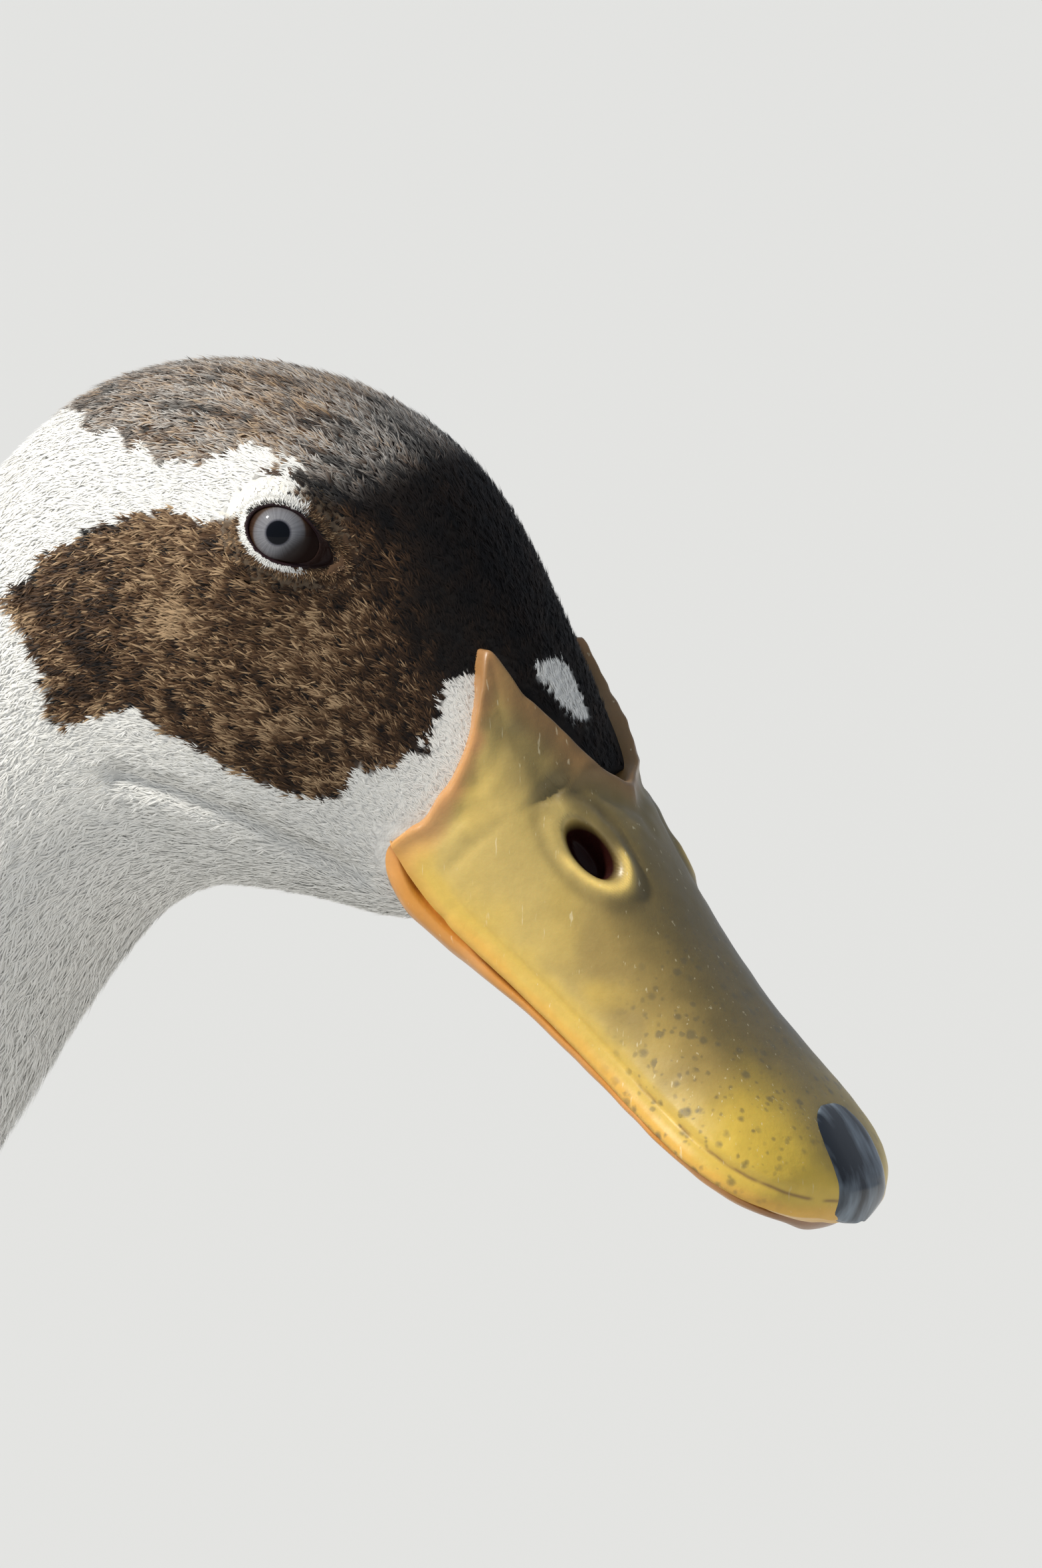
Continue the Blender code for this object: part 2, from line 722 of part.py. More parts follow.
def tail_core():
    """The rump's end, from the torso's last section to a flat wedge."""
    turns = ring_angles(28)
    points, _, _ = body_frame(np.full(28, RUMP), turns)
    back, belly = STATIONS[-1][0:2], STATIONS[-1][2:4]
    across = np.array([belly[0] - back[0], 0, belly[1] - back[1]])
    outward = np.cross(across, [0, 1.0, 0])
    outward /= np.linalg.norm(outward)
    outward *= math.copysign(1, outward @ TAIL_FORWARD)
    rings = [list(points + outward * GAP)]
    for along, up, down, half in TAIL_SECTIONS:
        ring = []
        for turn in turns:
            high = up if math.cos(turn) > 0 else down
            ring.append(tail_point(along, half * math.sin(turn), high * math.cos(turn)))
        rings.append(ring)
    return loft("tail", rings)


def tail_vane(spread, length, width, base, high, rise, droop, thick):
    """A tail feather at an angle of spread from the middle line, drooping towards its outer edge."""
    angle = math.radians(spread)
    direction = np.array([math.cos(angle), math.sin(angle)])
    rings = []
    for share, wide in VANE_SHAPE:
        reach = base + (length - base) * share
        out = base * 0.35 * math.sin(angle) + reach * direction[1]
        along = reach * direction[0]
        up = high + (rise - high) * share - droop * abs(math.sin(angle)) * share
        half = width * wide / 2
        slope = -math.copysign(0.25, spread) * half
        corner = np.array([-direction[1], direction[0]]) * half
        rings.append(
            [
                tail_point(along + corner[0], out + corner[1], up + slope),
                tail_point(along, out, up + thick),
                tail_point(along - corner[0], out - corner[1], up - slope),
                tail_point(along, out, up - thick * 0.4),
            ]
        )
    return loft("vane", rings)


def tail_feathers():
    """Twelve tail feathers, with upper coverts in two tiers over them and under coverts in one."""
    vanes = []
    for i in range(12):
        spread = -TAIL_FAN + (i + 0.5) * TAIL_FAN / 6
        length = TAIL_LENGTH - 0.012 * spread**2
        vanes.append(tail_vane(spread, length, 14.5, 32, 1.6, 1.5, 8, 0.8))
    for i in range(4):
        spread = -19.5 + 13 * i
        vanes.append(tail_vane(spread, 62 - 0.01 * spread**2, 21, 26, 5.2, 4.0, 9, 0.9))
    for i in range(3):
        spread = -16 + 16 * i
        vanes.append(tail_vane(spread, 44 - 0.01 * spread**2, 22, 16, 8.2, 8.0, 10, 1.0))
    for i in range(3):
        spread = -17 + 17 * i
        vanes.append(tail_vane(spread, 62 - 0.01 * spread**2, 23, 26, -4.4, -2.6, 5, 0.9))
    return vanes


def make_tail():
    tail = join(tail_core(), tail_feathers())
    boolean(tail, grown_torso(), "DIFFERENCE")
    keep_largest(tail)
    return tail


# Leg: (x, y, z) of its joints for the left side, and the drumstick's and shank's radii
KNEE = np.array([2.0, 30.0, 150.0])
HOCK = np.array([-31.0, 34.0, 62.0])
ANKLE = np.array([-12.0, 35.0, 9.0])
DRUMSTICK = [
    (-0.25, 12.0, 7.0),
    (-0.1, 22.0, 14.0),
    (0.1, 25.5, 18.5),
    (0.3, 24.0, 18.5),
    (0.52, 18.5, 15.0),
    (0.72, 13.0, 11.2),
    (0.9, 8.4, 7.8),
    (1.0, 6.6, 6.4),
]
SHANK = [
    (0.0, 5.4, 5.2),
    (0.08, 6.0, 5.4),
    (0.2, 4.9, 4.2),
    (0.5, 4.0, 3.1),
    (0.8, 4.1, 3.3),
    (0.93, 4.7, 4.4),
    (1.0, 4.4, 4.4),
]


def limb(name, start, end, profile, side, count, first=0.0, last=1.0):
    """A leg length between two joints, with (share, fore and aft radius, sideways radius) rows."""
    flip = np.array([1, side, 1])
    start, end = start * flip, end * flip
    axis = (end - start) / np.linalg.norm(end - start)
    fore = np.cross([0, 1.0, 0], axis)
    fore /= np.linalg.norm(fore)
    across = np.cross(axis, fore)
    rows = np.array(profile)
    size = spline(rows[:, 0], rows[:, 1:])
    rings = []
    for share in np.linspace(first, last, 9):
        deep, wide = size(share)
        ring = []
        for turn in ring_angles(count):
            ring.append(start + (end - start) * share + fore * deep * math.cos(turn) + across * wide * math.sin(turn))
        rings.append(ring)
    return loft(name, rings)


def grown_shank(side):
    """The shank with a gap all round it and at both ends, to cut its neighbours clear."""
    wide = [(share, deep + GAP, across + GAP) for share, deep, across in SHANK]
    margin = GAP / np.linalg.norm(ANKLE - HOCK)
    return limb("shank_cutter", HOCK, ANKLE, wide, side, 14, -margin, 1 + margin)


def make_leg(label, side):
    thigh = limb("thigh_" + label, KNEE, HOCK, DRUMSTICK, side, 18, DRUMSTICK[0][0])
    boolean(thigh, grown_torso(), "DIFFERENCE")
    boolean(thigh, grown_shank(side), "DIFFERENCE")
    keep_largest(thigh)
    shank = limb("shank_" + label, HOCK, ANKLE, SHANK, side, 14)
    return thigh, shank


# Foot: toes as (angle outwards in degrees, length, radius at the root, radius at the tip)
TOES = [("inner", -24.0, 50.0, 3.3, 2.0), ("middle", 2.0, 60.0, 3.5, 2.1), ("outer", 25.0, 55.0, 3.3, 2.0)]
HIND_TOE = (172.0, 17.0, 2.4, 1.5)
CLAW = 6.5
# Toe's half section: how far out and how high, as shares of its radius
TOE_ARCH = [(-1.0, 0.95), (-0.6, 1.7), (0.0, 1.95), (0.6, 1.7), (1.0, 0.95)]
TOE_TWIST = math.pi / 8
HIND_RISE = 1.6
# Web: how far along the toes it reaches, how hollow its front edge is, and its height and thickness
WEB_REACH = 0.9
WEB_SAG = 0.17
WEB_THICK = 1.2
WEB_LOW = 0.4
FOOT_START = 2.5
FOOT_ROWS = (0.0, 0.2, 0.4, 0.6, 0.8, 1.0)
ANKLE_JOINT = np.array([1.0, 0, -4.2])
ANKLE_RADII = (6.2, 4.8, 4.4)
FOOT_TURN = 6.0


def toe_direction(angle, side):
    """Level direction of a toe that turns outwards by angle from straight ahead."""
    turn = math.radians(angle + FOOT_TURN)
    return np.array([math.cos(turn), side * math.sin(turn), 0])


def ankle(side):
    return ANKLE * np.array([1, side, 1])


def toe_columns(toe, share, side):
    """Five places across a toe at a share of its length, each with the height of its top and underside."""
    _, angle, length, root, tip = toe
    direction = toe_direction(angle, side)
    across = np.array([-direction[1], direction[0], 0]) * side
    base = ankle(side) * np.array([1, 1, 0])
    middle = base + direction * (FOOT_START + (length - FOOT_START) * share)
    half = (root + (tip - root) * share) * (1 + 0.09 * math.cos(share * 5 * math.pi))
    half *= min(1.0, 0.55 + 1.5 * share)
    return [(middle + across * half * out, half * high, 0.0) for out, high in TOE_ARCH]


def foot_row(share, side):
    """One row across the three front toes and the webs between them."""
    base = ankle(side) * np.array([1, 1, 0])
    row = []
    for toe in TOES:
        columns = toe_columns(toe, share * WEB_REACH, side)
        if row:
            last = row[-1][0]
            for step in (0.33, 0.67):
                place = last + (columns[0][0] - last) * step
                place = base + (place - base) * (1 - WEB_SAG * share**2)
                row.append((place, WEB_LOW + WEB_THICK, WEB_LOW))
        row.extend(columns)
    return row


def skin_strip(points, faces, rows, closed):
    """Adds the top, underside and edges of a strip of rows. Closed gives the columns shut at an end row."""
    wide = len(rows[0])
    start = len(points)
    for row in rows:
        points += [place + np.array([0, 0, high]) for place, high, _ in row]
        points += [place + np.array([0, 0, low]) for place, _, low in row]
    for i in range(len(rows) - 1):
        a, b = start + 2 * wide * i, start + 2 * wide * (i + 1)
        for j in range(wide - 1):
            faces.append((a + j, a + j + 1, b + j + 1, b + j))
            faces.append((a + j + wide, b + j + wide, b + j + wide + 1, a + j + wide + 1))
        for j in (0, wide - 1):
            faces.append((a + j, b + j, b + j + wide, a + j + wide))
    for i, columns in closed.items():
        a = start + 2 * wide * i
        for j in columns:
            faces.append((a + j, a + j + wide, a + j + wide + 1, a + j + 1))


def webbed_foot(name, side):
    """The three front toes and the webs between them, as one skin of top and underside."""
    points, faces = [], []
    rows = [foot_row(share, side) for share in FOOT_ROWS]
    all_columns = range(len(rows[0]) - 1)
    toe_wide = len(TOE_ARCH) - 1
    between = [j for j in all_columns if j % (toe_wide + 3) >= toe_wide]
    skin_strip(points, faces, rows, {0: all_columns, len(rows) - 1: between})
    for toe in TOES:
        ends = [toe_columns(toe, share, side) for share in np.linspace(WEB_REACH, 1, 3)]
        skin_strip(points, faces, ends, {2: range(toe_wide)})
    made = mesh_object(name, points, faces)
    shape = bmesh.new()
    shape.from_mesh(made.data)
    bmesh.ops.remove_doubles(shape, verts=shape.verts, dist=SAME_POINT * MM)
    shape.to_mesh(made.data)
    shape.free()
    face_outwards(made)
    return made


def hind_toe(side):
    """The short hind toe, from inside the ankle to its claw."""
    angle, length, root, tip = HIND_TOE
    direction = toe_direction(angle, side)
    across = np.array([-direction[1], direction[0], 0])
    base = ankle(side) * np.array([1, 1, 0])
    rings = []
    for share in np.linspace(0, 1, 4):
        radius = root + (tip - root) * share
        ring = []
        for turn in ring_angles(8) + TOE_TWIST:
            point = base + direction * length * share + across * radius * math.sin(turn)
            point[2] = radius * (0.9 + math.cos(turn)) + HIND_RISE * (1 - share)
            ring.append(np.maximum(point, [-math.inf, -math.inf, 0]))
        rings.append(ring)
    return loft("toe", rings)


def claw(name, angle, length, root, side, lift):
    """A short claw, curved down, set on the end of a toe."""
    direction = toe_direction(angle, side)
    across = np.array([-direction[1], direction[0], 0])
    base = ankle(side)
    rings = []
    for share in np.linspace(0, 1, 5):
        radius = root * (1 - share) ** 0.7 * 0.85 + 0.12
        centre = base + direction * (length + GAP + CLAW * share)
        centre[2] = lift - 0.9 * share**2 + 0.35 * math.sin(math.pi * share)
        ring = []
        for turn in ring_angles(6):
            point = centre + across * radius * 0.8 * math.sin(turn)
            point[2] = max(0.0, centre[2] + radius * math.cos(turn))
            ring.append(point)
        rings.append(ring)
    return loft(name, rings)


def make_foot(label, side):
    foot = webbed_foot("foot_" + label, side)
    joint = ellipsoid("joint", ankle(side) + ANKLE_JOINT, ANKLE_RADII, 12, 8)
    join(foot, [hind_toe(side), joint])
    boolean(foot, grown_shank(side), "DIFFERENCE")
    keep_largest(foot)
    claws = []
    for toe_name, angle, length, _, tip in TOES:
        claws.append(claw(f"claw_{toe_name}_{label}", angle, length, tip, side, tip * 0.9))
    claws.append(claw(f"claw_hind_{label}", HIND_TOE[0], HIND_TOE[1], HIND_TOE[3], side, HIND_TOE[3] * 0.9))
    return foot, claws


def main():
    for old in list(bpy.data.objects):
        bpy.data.objects.remove(old)
    duck = bpy.data.objects.new("runner_duck", None)
    bpy.context.scene.collection.objects.link(duck)

    white = material("white_feather", (0.82, 0.81, 0.76), 0.85)
    brown = material("brown_feather", (0.16, 0.105, 0.065), 0.8)
    horn = material("bill_horn", (0.62, 0.47, 0.13), 0.35)
    dark = material("nail_horn", (0.03, 0.035, 0.045), 0.25)
    eye = material("eye", (0.30, 0.32, 0.38), 0.08)
    skin = material("leg_skin", (0.72, 0.36, 0.07), 0.5)

    upper, nail, lower = make_bill()
    finish(upper, horn, duck)
    finish(nail, dark, duck)
    finish(lower, horn, duck)
    finish(make_head(), brown, duck)
    finish(body_length("neck", NAPE + GAP / 2, SHOULDER - GAP / 2, 13, 26), white, duck)
    finish(body_length("torso", SHOULDER + GAP / 2, RUMP, TORSO_STEP, TORSO_SIDES), brown, duck)
    finish(make_tail(), brown, duck)
    for wing in make_wings():
        finish(wing, white, duck)
    for label, side in SIDES.items():
        finish(ellipsoid("eye_" + label, eye_centre(side), [EYE_RADIUS] * 3, 16, 9), eye, duck)
        thigh, shank = make_leg(label, side)
        finish(thigh, white, duck)
        finish(shank, skin, duck)
        foot, claws = make_foot(label, side)
        finish(foot, skin, duck)
        for made in claws:
            finish(made, dark, duck)


main()
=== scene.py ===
import math

import bmesh
import bpy
import numpy as np
from mathutils import Matrix, Vector
from mathutils.bvhtree import BVHTree
from mathutils.kdtree import KDTree


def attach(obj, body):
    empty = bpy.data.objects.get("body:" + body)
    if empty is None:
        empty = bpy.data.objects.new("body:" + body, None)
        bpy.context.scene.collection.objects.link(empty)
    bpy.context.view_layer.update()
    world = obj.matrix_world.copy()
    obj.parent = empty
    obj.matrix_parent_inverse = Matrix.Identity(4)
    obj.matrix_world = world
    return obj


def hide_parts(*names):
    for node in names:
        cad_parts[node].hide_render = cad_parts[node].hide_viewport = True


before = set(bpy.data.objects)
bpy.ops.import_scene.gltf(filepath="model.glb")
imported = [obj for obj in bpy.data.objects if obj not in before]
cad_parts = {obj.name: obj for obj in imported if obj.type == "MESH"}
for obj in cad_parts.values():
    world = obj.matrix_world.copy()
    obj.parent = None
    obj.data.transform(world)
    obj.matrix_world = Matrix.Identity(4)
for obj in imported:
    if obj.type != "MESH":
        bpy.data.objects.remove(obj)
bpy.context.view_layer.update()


# The duck's skin: one hide from the face over the neck and trunk to the root of the tail, with the
# thighs grown out of it. It lies under the feathers by their depth and carries the same markings.
CENTRE_SHIFT = 8
SIDES = (("left", 1), ("right", -1))
# Foremost point of the feathers, on the ridge of the bill: in mm, like all lengths before metres()
FEATHER_POINT = np.array([163.5, 0, 535])
# Head and neck, measured from the feather point: top x and z, under x and z, half width, widest
# height as a share, and fullness of the section
HEAD_SECTIONS = [
    (0, 0, -17.5, -15, 9.6, 0.40, 2.9), (-7, 14.1, -22.5, -15, 12.1, 0.40, 2.6),
    (-15.4, 26.9, -29, -13.8, 15.6, 0.40, 2.4), (-26.6, 34.3, -36, -13.1, 18.3, 0.41, 2.3),
    (-40.5, 37, -42.5, -13.5, 19.5, 0.44, 2.15), (-54, 34, -48.5, -16.2, 19.9, 0.46, 2.1),
    (-65, 25, -53, -20.3, 19.8, 0.48, 2.05), (-74.5, 15, -57.5, -26, 19.4, 0.49, 2),
    (-83, 3.5, -62.2, -32.8, 18.9, 0.5, 2), (-91, -9.5, -67.2, -40, 18.4, 0.5, 2),
    (-99, -28.5, -72.5, -50, 17.9, 0.5, 2), (-105.5, -51, -76, -62.5, 17.5, 0.5, 2),
    (-110, -76, -77.5, -80.5, 17.4, 0.5, 2), (-113, -101, -77, -103, 18.2, 0.5, 2),
    (-118, -125, -75.5, -132, 20.8, 0.5, 2), (-127, -149, -75, -167, 25.4, 0.5, 2),
]
NECK_START = 9
# Trunk: back x and z, belly x and z and half width
TRUNK_SECTIONS = [
    (20, 362, 87, 330, 32), (5, 332, 88, 290, 40), (-13, 297, 82, 248, 46), (-32, 258, 69, 205, 50),
    (-51, 220, 53, 165, 51.5), (-69, 185, 32, 131, 50), (-86, 155, 4, 107, 46),
    (-101, 132, -27, 92, 39), (-113, 116, -58, 83, 31.5), (-124, 104.5, -90, 76.5, 25),
    (-134, 97, -119, 72.5, 20),
]
TRUNK_WIDEST, TRUNK_FULLNESS = 0.5, 2.1
# Fleshy root of the tail: its slope, the length over which the trunk turns into it, and its mm from the
# trunk's end, up, down and half width
TAIL_DOWN, TAIL_BLEND = math.radians(20), 12
TAIL_SECTIONS = [
    (0, 12.6, 12.2, 20), (9, 11.4, 10.9, 20), (20, 9.4, 8.9, 19.4), (34, 6.6, 6.4, 17.5),
    (46, 3.4, 3.6, 14), (54, 1.4, 1.5, 9),
]


def size_of(vectors):
    return np.linalg.norm(vectors, axis=-1)


def spline(keys, values):
    """A natural cubic curve through values at keys, held at its ends."""
    keys = np.asarray(keys, float)
    values = np.asarray(values, float).reshape(len(keys), -1)
    steps = np.diff(keys)
    slopes = np.diff(values, axis=0) / steps[:, None]
    matrix = np.eye(len(keys))
    right = np.zeros_like(values)
    for i in range(1, len(keys) - 1):
        matrix[i, i - 1 : i + 2] = steps[i - 1], 2 * (steps[i - 1] + steps[i]), steps[i]
        right[i] = 6 * (slopes[i] - slopes[i - 1])
    bends = np.linalg.solve(matrix, right)

    def at(key):
        place = np.clip(np.asarray(key, float), keys[0], keys[-1])
        i = np.clip(np.searchsorted(keys, place) - 1, 0, len(steps) - 1)
        step = steps[i][..., None]
        after = (place - keys[i])[..., None]
        before = step - after
        curve = (bends[i] * before**3 + bends[i + 1] * after**3) / (6 * step)
        line = (values[i] / step - bends[i] * step / 6) * before
        line = line + (values[i + 1] / step - bends[i + 1] * step / 6) * after
        return curve + line

    return at


def profile(rows):
    """The curve through rows of numbers whose first one is the key."""
    rows = np.array(rows)
    return spline(rows[:, 0], rows[:, 1:])


TRUNK_ROWS = [(*row, TRUNK_WIDEST, TRUNK_FULLNESS) for row in TRUNK_SECTIONS]
ROWS = np.array([*(np.array(HEAD_SECTIONS) + [*FEATHER_POINT[[0, 2, 0, 2]], 0, 0, 0]), *TRUNK_ROWS])
MIDDLES = (ROWS[:, 0:2] + ROWS[:, 2:4]) / 2
RUN = np.concatenate([[0], np.cumsum(size_of(np.diff(MIDDLES, axis=0)))])
ALONG = RUN - RUN[len(HEAD_SECTIONS)]
FACE, NAPE, RUMP = ALONG[0], ALONG[NECK_START], ALONG[-1]
SHAPE = spline(ALONG, ROWS)
TAIL_FORWARD = np.array([-math.cos(TAIL_DOWN), 0, -math.sin(TAIL_DOWN)])
TAIL_UP = np.array([-math.sin(TAIL_DOWN), 0, math.cos(TAIL_DOWN)])
TAIL_ROOT = np.array([MIDDLES[-1][0], 0, MIDDLES[-1][1]])
TAIL_SHAPE = profile(TAIL_SECTIONS)
TAIL_REACH = TAIL_SECTIONS[-1][0]


def metres(points):
    return (np.asarray(points, float) + [CENTRE_SHIFT, 0, 0]) * 0.001


def unit(vectors):
    return vectors / np.maximum(size_of(vectors), 1e-9)[..., None]


def clamped(value):
    return np.clip(value, 0, 1)


def ease(low, high, value):
    """A smooth step from 0 at low to 1 at high."""
    share = clamped((value - low) / (high - low))
    return share * share * (3 - 2 * share)


def bell(value, middle, width):
    """A bump of height 1 at middle that dies away over about width."""
    return np.exp(-(((value - middle) / width) ** 2))


def rounded(value, power):
    """A power of a value that keeps its sign: with sine and cosine it squares or rounds off an oval."""
    return np.sign(value) * np.abs(value) ** power


def hull(along, around):
    """The feathers' outer form in mm: around is 0 at the back and pi at the belly."""
    along, around = np.broadcast_arrays(np.asarray(along, float), np.asarray(around, float))
    row = SHAPE(np.minimum(along, RUMP))
    level = np.zeros(along.shape)
    back = np.stack([row[..., 0], level, row[..., 1]], -1)
    belly = np.stack([row[..., 2], level, row[..., 3]], -1)
    middle = belly + (back - belly) * row[..., 5:6]
    power = 2 / row[..., 6]
    up, out = rounded(np.cos(around), power), rounded(np.sin(around), power)
    reach = np.where(up[..., None] > 0, back - middle, middle - belly)
    points = middle + reach * up[..., None]
    points[..., 1] = row[..., 4] * out
    past = np.maximum(along - RUMP, 0)[..., None]
    rise, fall, half = np.moveaxis(TAIL_SHAPE(past[..., 0]), -1, 0)
    high = np.where(np.cos(around) > 0, rise, fall) * np.cos(around)
    tail = TAIL_ROOT + TAIL_FORWARD * past + TAIL_UP * high[..., None]
    tail[..., 1] = half * np.sin(around)
    blend = ease(0, TAIL_BLEND, past)
    return points * (1 - blend) + tail * blend


def lie(surface, along, around):
    """(points, outward normals, directions to the tail, directions round the body) on a surface."""
    points = surface(along, around)
    tailward = surface(along + 0.4, around) - surface(along - 0.4, around)
    turning = surface(along, around + 0.01) - surface(along, around - 0.01)
    normals = unit(np.cross(turning, tailward))
    return points, normals, tailward / 0.8, turning / 0.02


# Eye: centre on the left side, the way it looks, and the swelling of the skin round it
EYE_CENTRE = FEATHER_POINT + [-27.5, 12.6, 21.1]
EYE_RADIUS = 5
GAZE = unit(np.array([0.33, 0.93, 0.12]))
AHEAD = unit(np.cross(GAZE, [0, 0, 1]))
ABOVE = np.cross(AHEAD, GAZE)
LID_RADIUS = 5.55
COAT_DEPTH = spline(
    [FACE, FACE + 20, NAPE, -60, 30, 120, RUMP, RUMP + 50], [0.65, 0.8, 1.1, 1.8, 2.6, 2.8, 2.2, 1.2]
)
# Fold in the throat under the cheek, 1 mm deep, as x and z from the feather point
THROAT_FOLD = [(-43, -1.2), (-35.8, -3.2), (-30.8, -5.1), (-26, -7.7), (-21.7, -10)]
FOLD_WIDTH = 1.1


def side_view(points):
    """(x, z) of places from the feather point."""
    return points[..., 0] - FEATHER_POINT[0], points[..., 2] - FEATHER_POINT[2]


def own_side(points):
    """What turns a direction on the left side into the one on each place's own side."""
    return np.where(points[..., 1:2] < 0, [1, -1, 1], [1, 1, 1])


def eye_offsets(points):
    """(height along the gaze, ahead, above) of places from the eye on their own side."""
    offset = np.where([False, True, False], np.abs(points), points) - EYE_CENTRE
    return offset @ GAZE, offset @ AHEAD, offset @ ABOVE


def line_distance(across, up, start, end):
    """Distance of each place from the line between two points of a side view."""
    (x, z), (wide, high) = start, np.subtract(end, start)
    share = clamped(((across - x) * wide + (up - z) * high) / (wide**2 + high**2))
    return np.hypot(across - x - share * wide, up - z - share * high)


def mottle(points, size, seed):
    """Smooth random values from 0 to 1 that change over about size mm."""
    places = np.asarray(points) / size + seed * 17.37
    cell = np.floor(places).astype(np.int64)
    part = places - cell
    part = part * part * (3 - 2 * part)
    total = 0
    for corner in np.ndindex(2, 2, 2):
        here = cell + np.array(corner)
        mixed = here[..., 0] * 73856093 ^ here[..., 1] * 19349663 ^ here[..., 2] * 83492791
        mixed = (mixed ^ (mixed >> 13)) * 1274126177
        weight = np.prod(np.where(corner, part, 1 - part), axis=-1)
        total = total + ((mixed >> 9) & 0xFFFF) / 0xFFFF * weight
    return total


def noise(points, size, seed, spread):
    """Smooth random values within half of spread on either side of zero."""
    return (mottle(points, size, seed) - 0.5) * spread


def skin_surface(along, around):
    """The hide in mm: the hull less the coat's depth, swollen round the eyes and folded at the throat."""
    shell, normals, _, _ = lie(hull, along, around)
    points = shell - normals * COAT_DEPTH(along)
    view = side_view(points)
    folds = [line_distance(*view, *ends) for ends in zip(THROAT_FOLD[:-1], THROAT_FOLD[1:])]
    fold = bell(np.minimum.reduce(folds), 0, FOLD_WIDTH) * (np.abs(points[..., 1]) > 3)
    ripple = noise(points, 9, 3, 1) * ease(NAPE - 30, NAPE, along) * ease(60, 0, along)
    points = points + normals * (ripple - fold)[..., None]
    high, ahead, above = eye_offsets(points)
    away = np.hypot(ahead, above)
    swell = high + 1.7 * bell(away, 0, 6)
    lid = np.sqrt(np.maximum(LID_RADIUS**2 - away**2, 0))
    lid = lid - 3 * ease(LID_RADIUS - 0.8, LID_RADIUS + 2, away)
    raised = np.log(np.exp(2.2 * swell) + np.exp(2.2 * lid)) / 2.2
    near = (away < 12) & (high > -4)
    push = np.where(near, (raised - high) * ease(12, 8, away), 0)
    return points + GAZE * own_side(points) * push[..., None]


# Markings in a side view, from the feather point: the cap with the dark face, and the cheek patch
CAP = [
    (-57.5, 30.8), (-53.1, 32.4), (-48.8, 30.6), (-45.7, 29.8), (-42.8, 29), (-38.8, 27.7), (-35.6, 27.8),
    (-33.8, 28.4), (-30.8, 28.7), (-28.3, 28.4), (-26.3, 27.6), (-24.3, 26.4), (-22.8, 25), (-21.6, 23),
    (-20.8, 20.5), (-12, 12), (4, -12), (20, 60), (-57.5, 60),
]
CHEEK = [
    (-52.9, 16.1), (-50.9, 18), (-47.6, 20.2), (-44.2, 21.3), (-40.9, 22), (-38.4, 22.9), (-34.4, 23),
    (-31.2, 22.8), (-28.5, 23.5), (-24.5, 23.4), (-21.6, 23), (-6, 16), (-8.8, 10.6), (-9.3, 9.1),
    (-11.3, 8), (-12.6, 6.1), (-12.9, 3.7), (-13.6, 1), (-16, 0.3), (-20.1, -0.4), (-21.3, -1.9),
    (-22, -2.5), (-25.5, -2.6), (-27.8, -1.7), (-30.8, -0.9), (-33.7, 1.5), (-36.2, 2.7), (-38.1, 4.2),
    (-40, 5.3), (-41.4, 4.7), (-43.5, 3.7), (-46.9, 3.6), (-48.8, 4.7), (-49.5, 7.2), (-50.2, 9),
    (-51.7, 11.9), (-53.5, 14.9),
]
# White blaze on the right of the forehead, as y and z from the feather point
BLAZE = [
    (-5.2, 8.2), (-5, 9.5), (-2.2, 10), (0.3, 9.1), (0.5, 6.7), (0.2, 4.6), (-1.2, 3.7), (-3, 4),
    (-4.2, 5.8),
]
# Where the trunk's brown ends, in degrees round from the back
BROWN_LIMIT = ([-30, 95, 130, 200, 300, 330, 380], [190, 190, 96, 78, 84, 112, 112])
WHITE = np.array([0.86, 0.85, 0.81])
# Nearly black, with a faint blue cast that is painted sky light in the shade
DARK = np.array([0.0050, 0.0055, 0.0065])
BROWN = np.array([0.122, 0.064, 0.031])
FAWN = np.array([0.50, 0.34, 0.195])
SILVER = np.array([0.54, 0.51, 0.47])


def inside_by(outline, across, up):
    """How far inside an outline each place lies, in mm, and below zero outside it."""
    nearest, within = np.inf, False
    for start, end in zip(outline, [*outline[1:], outline[0]]):
        nearest = np.minimum(nearest, line_distance(across, up, start, end))
        (x, z), (wide, high) = start, np.subtract(end, start)
        crossing = x + (up - z) * wide / (high or 1e-9)
        within = within ^ (((z > up) != (end[1] > up)) & (across < crossing))
    return np.where(within, nearest, -nearest)


def brownness(points, along, around):
    """How much brown a feather rooted at each place has, from 0 to 1."""
    across, up = side_view(points)
    ragged = noise(points, 2.2, 1, 1.5) + noise(points, 0.7, 2, 0.9)
    patch = np.maximum(inside_by(CAP, across, up), inside_by(CHEEK, across, up)) + ragged
    blaze = inside_by(BLAZE, points[..., 1], up) + 0.4 * ragged
    high, ahead, above = eye_offsets(points)
    ring = np.hypot((ahead - 0.8) / 3.8, (above + 0.05) / 3)
    behind = ease(3.4, 0.4, ahead + 0.5 * above)
    head = ease(-0.35, 0.35, patch)
    head *= 1 - ease(-0.1, 0.5, blaze) * (across > -9)
    head *= 1 - ease(1.16, 1.02, ring) * np.maximum(behind, 0.25) * (high > 0)
    lore = ease(0.6, 2.6, ahead + noise(points, 1.1, 5, 3.5)) * (above > 0.5)
    lore = lore * ease(9, 7, np.hypot(ahead, above)) * (high > -2)
    fleck = bell(across, -28.4, 1.5) * bell(up, 26.6, 0.7) * (mottle(points, 0.8, 6) > 0.35)
    head = np.maximum(np.maximum(head, 0.95 * lore), fleck)
    edge = noise(points, 14, 4, 22) + noise(points, 5, 5, 10)
    turn = np.degrees(np.abs(around)) - np.interp(along, *BROWN_LIMIT) + 0.6 * edge
    body = ease(-18, -12, along + 0.5 * edge) * ease(2, -2, turn)
    return np.where(along < NAPE + 20, head * (along < NAPE - 8), body)


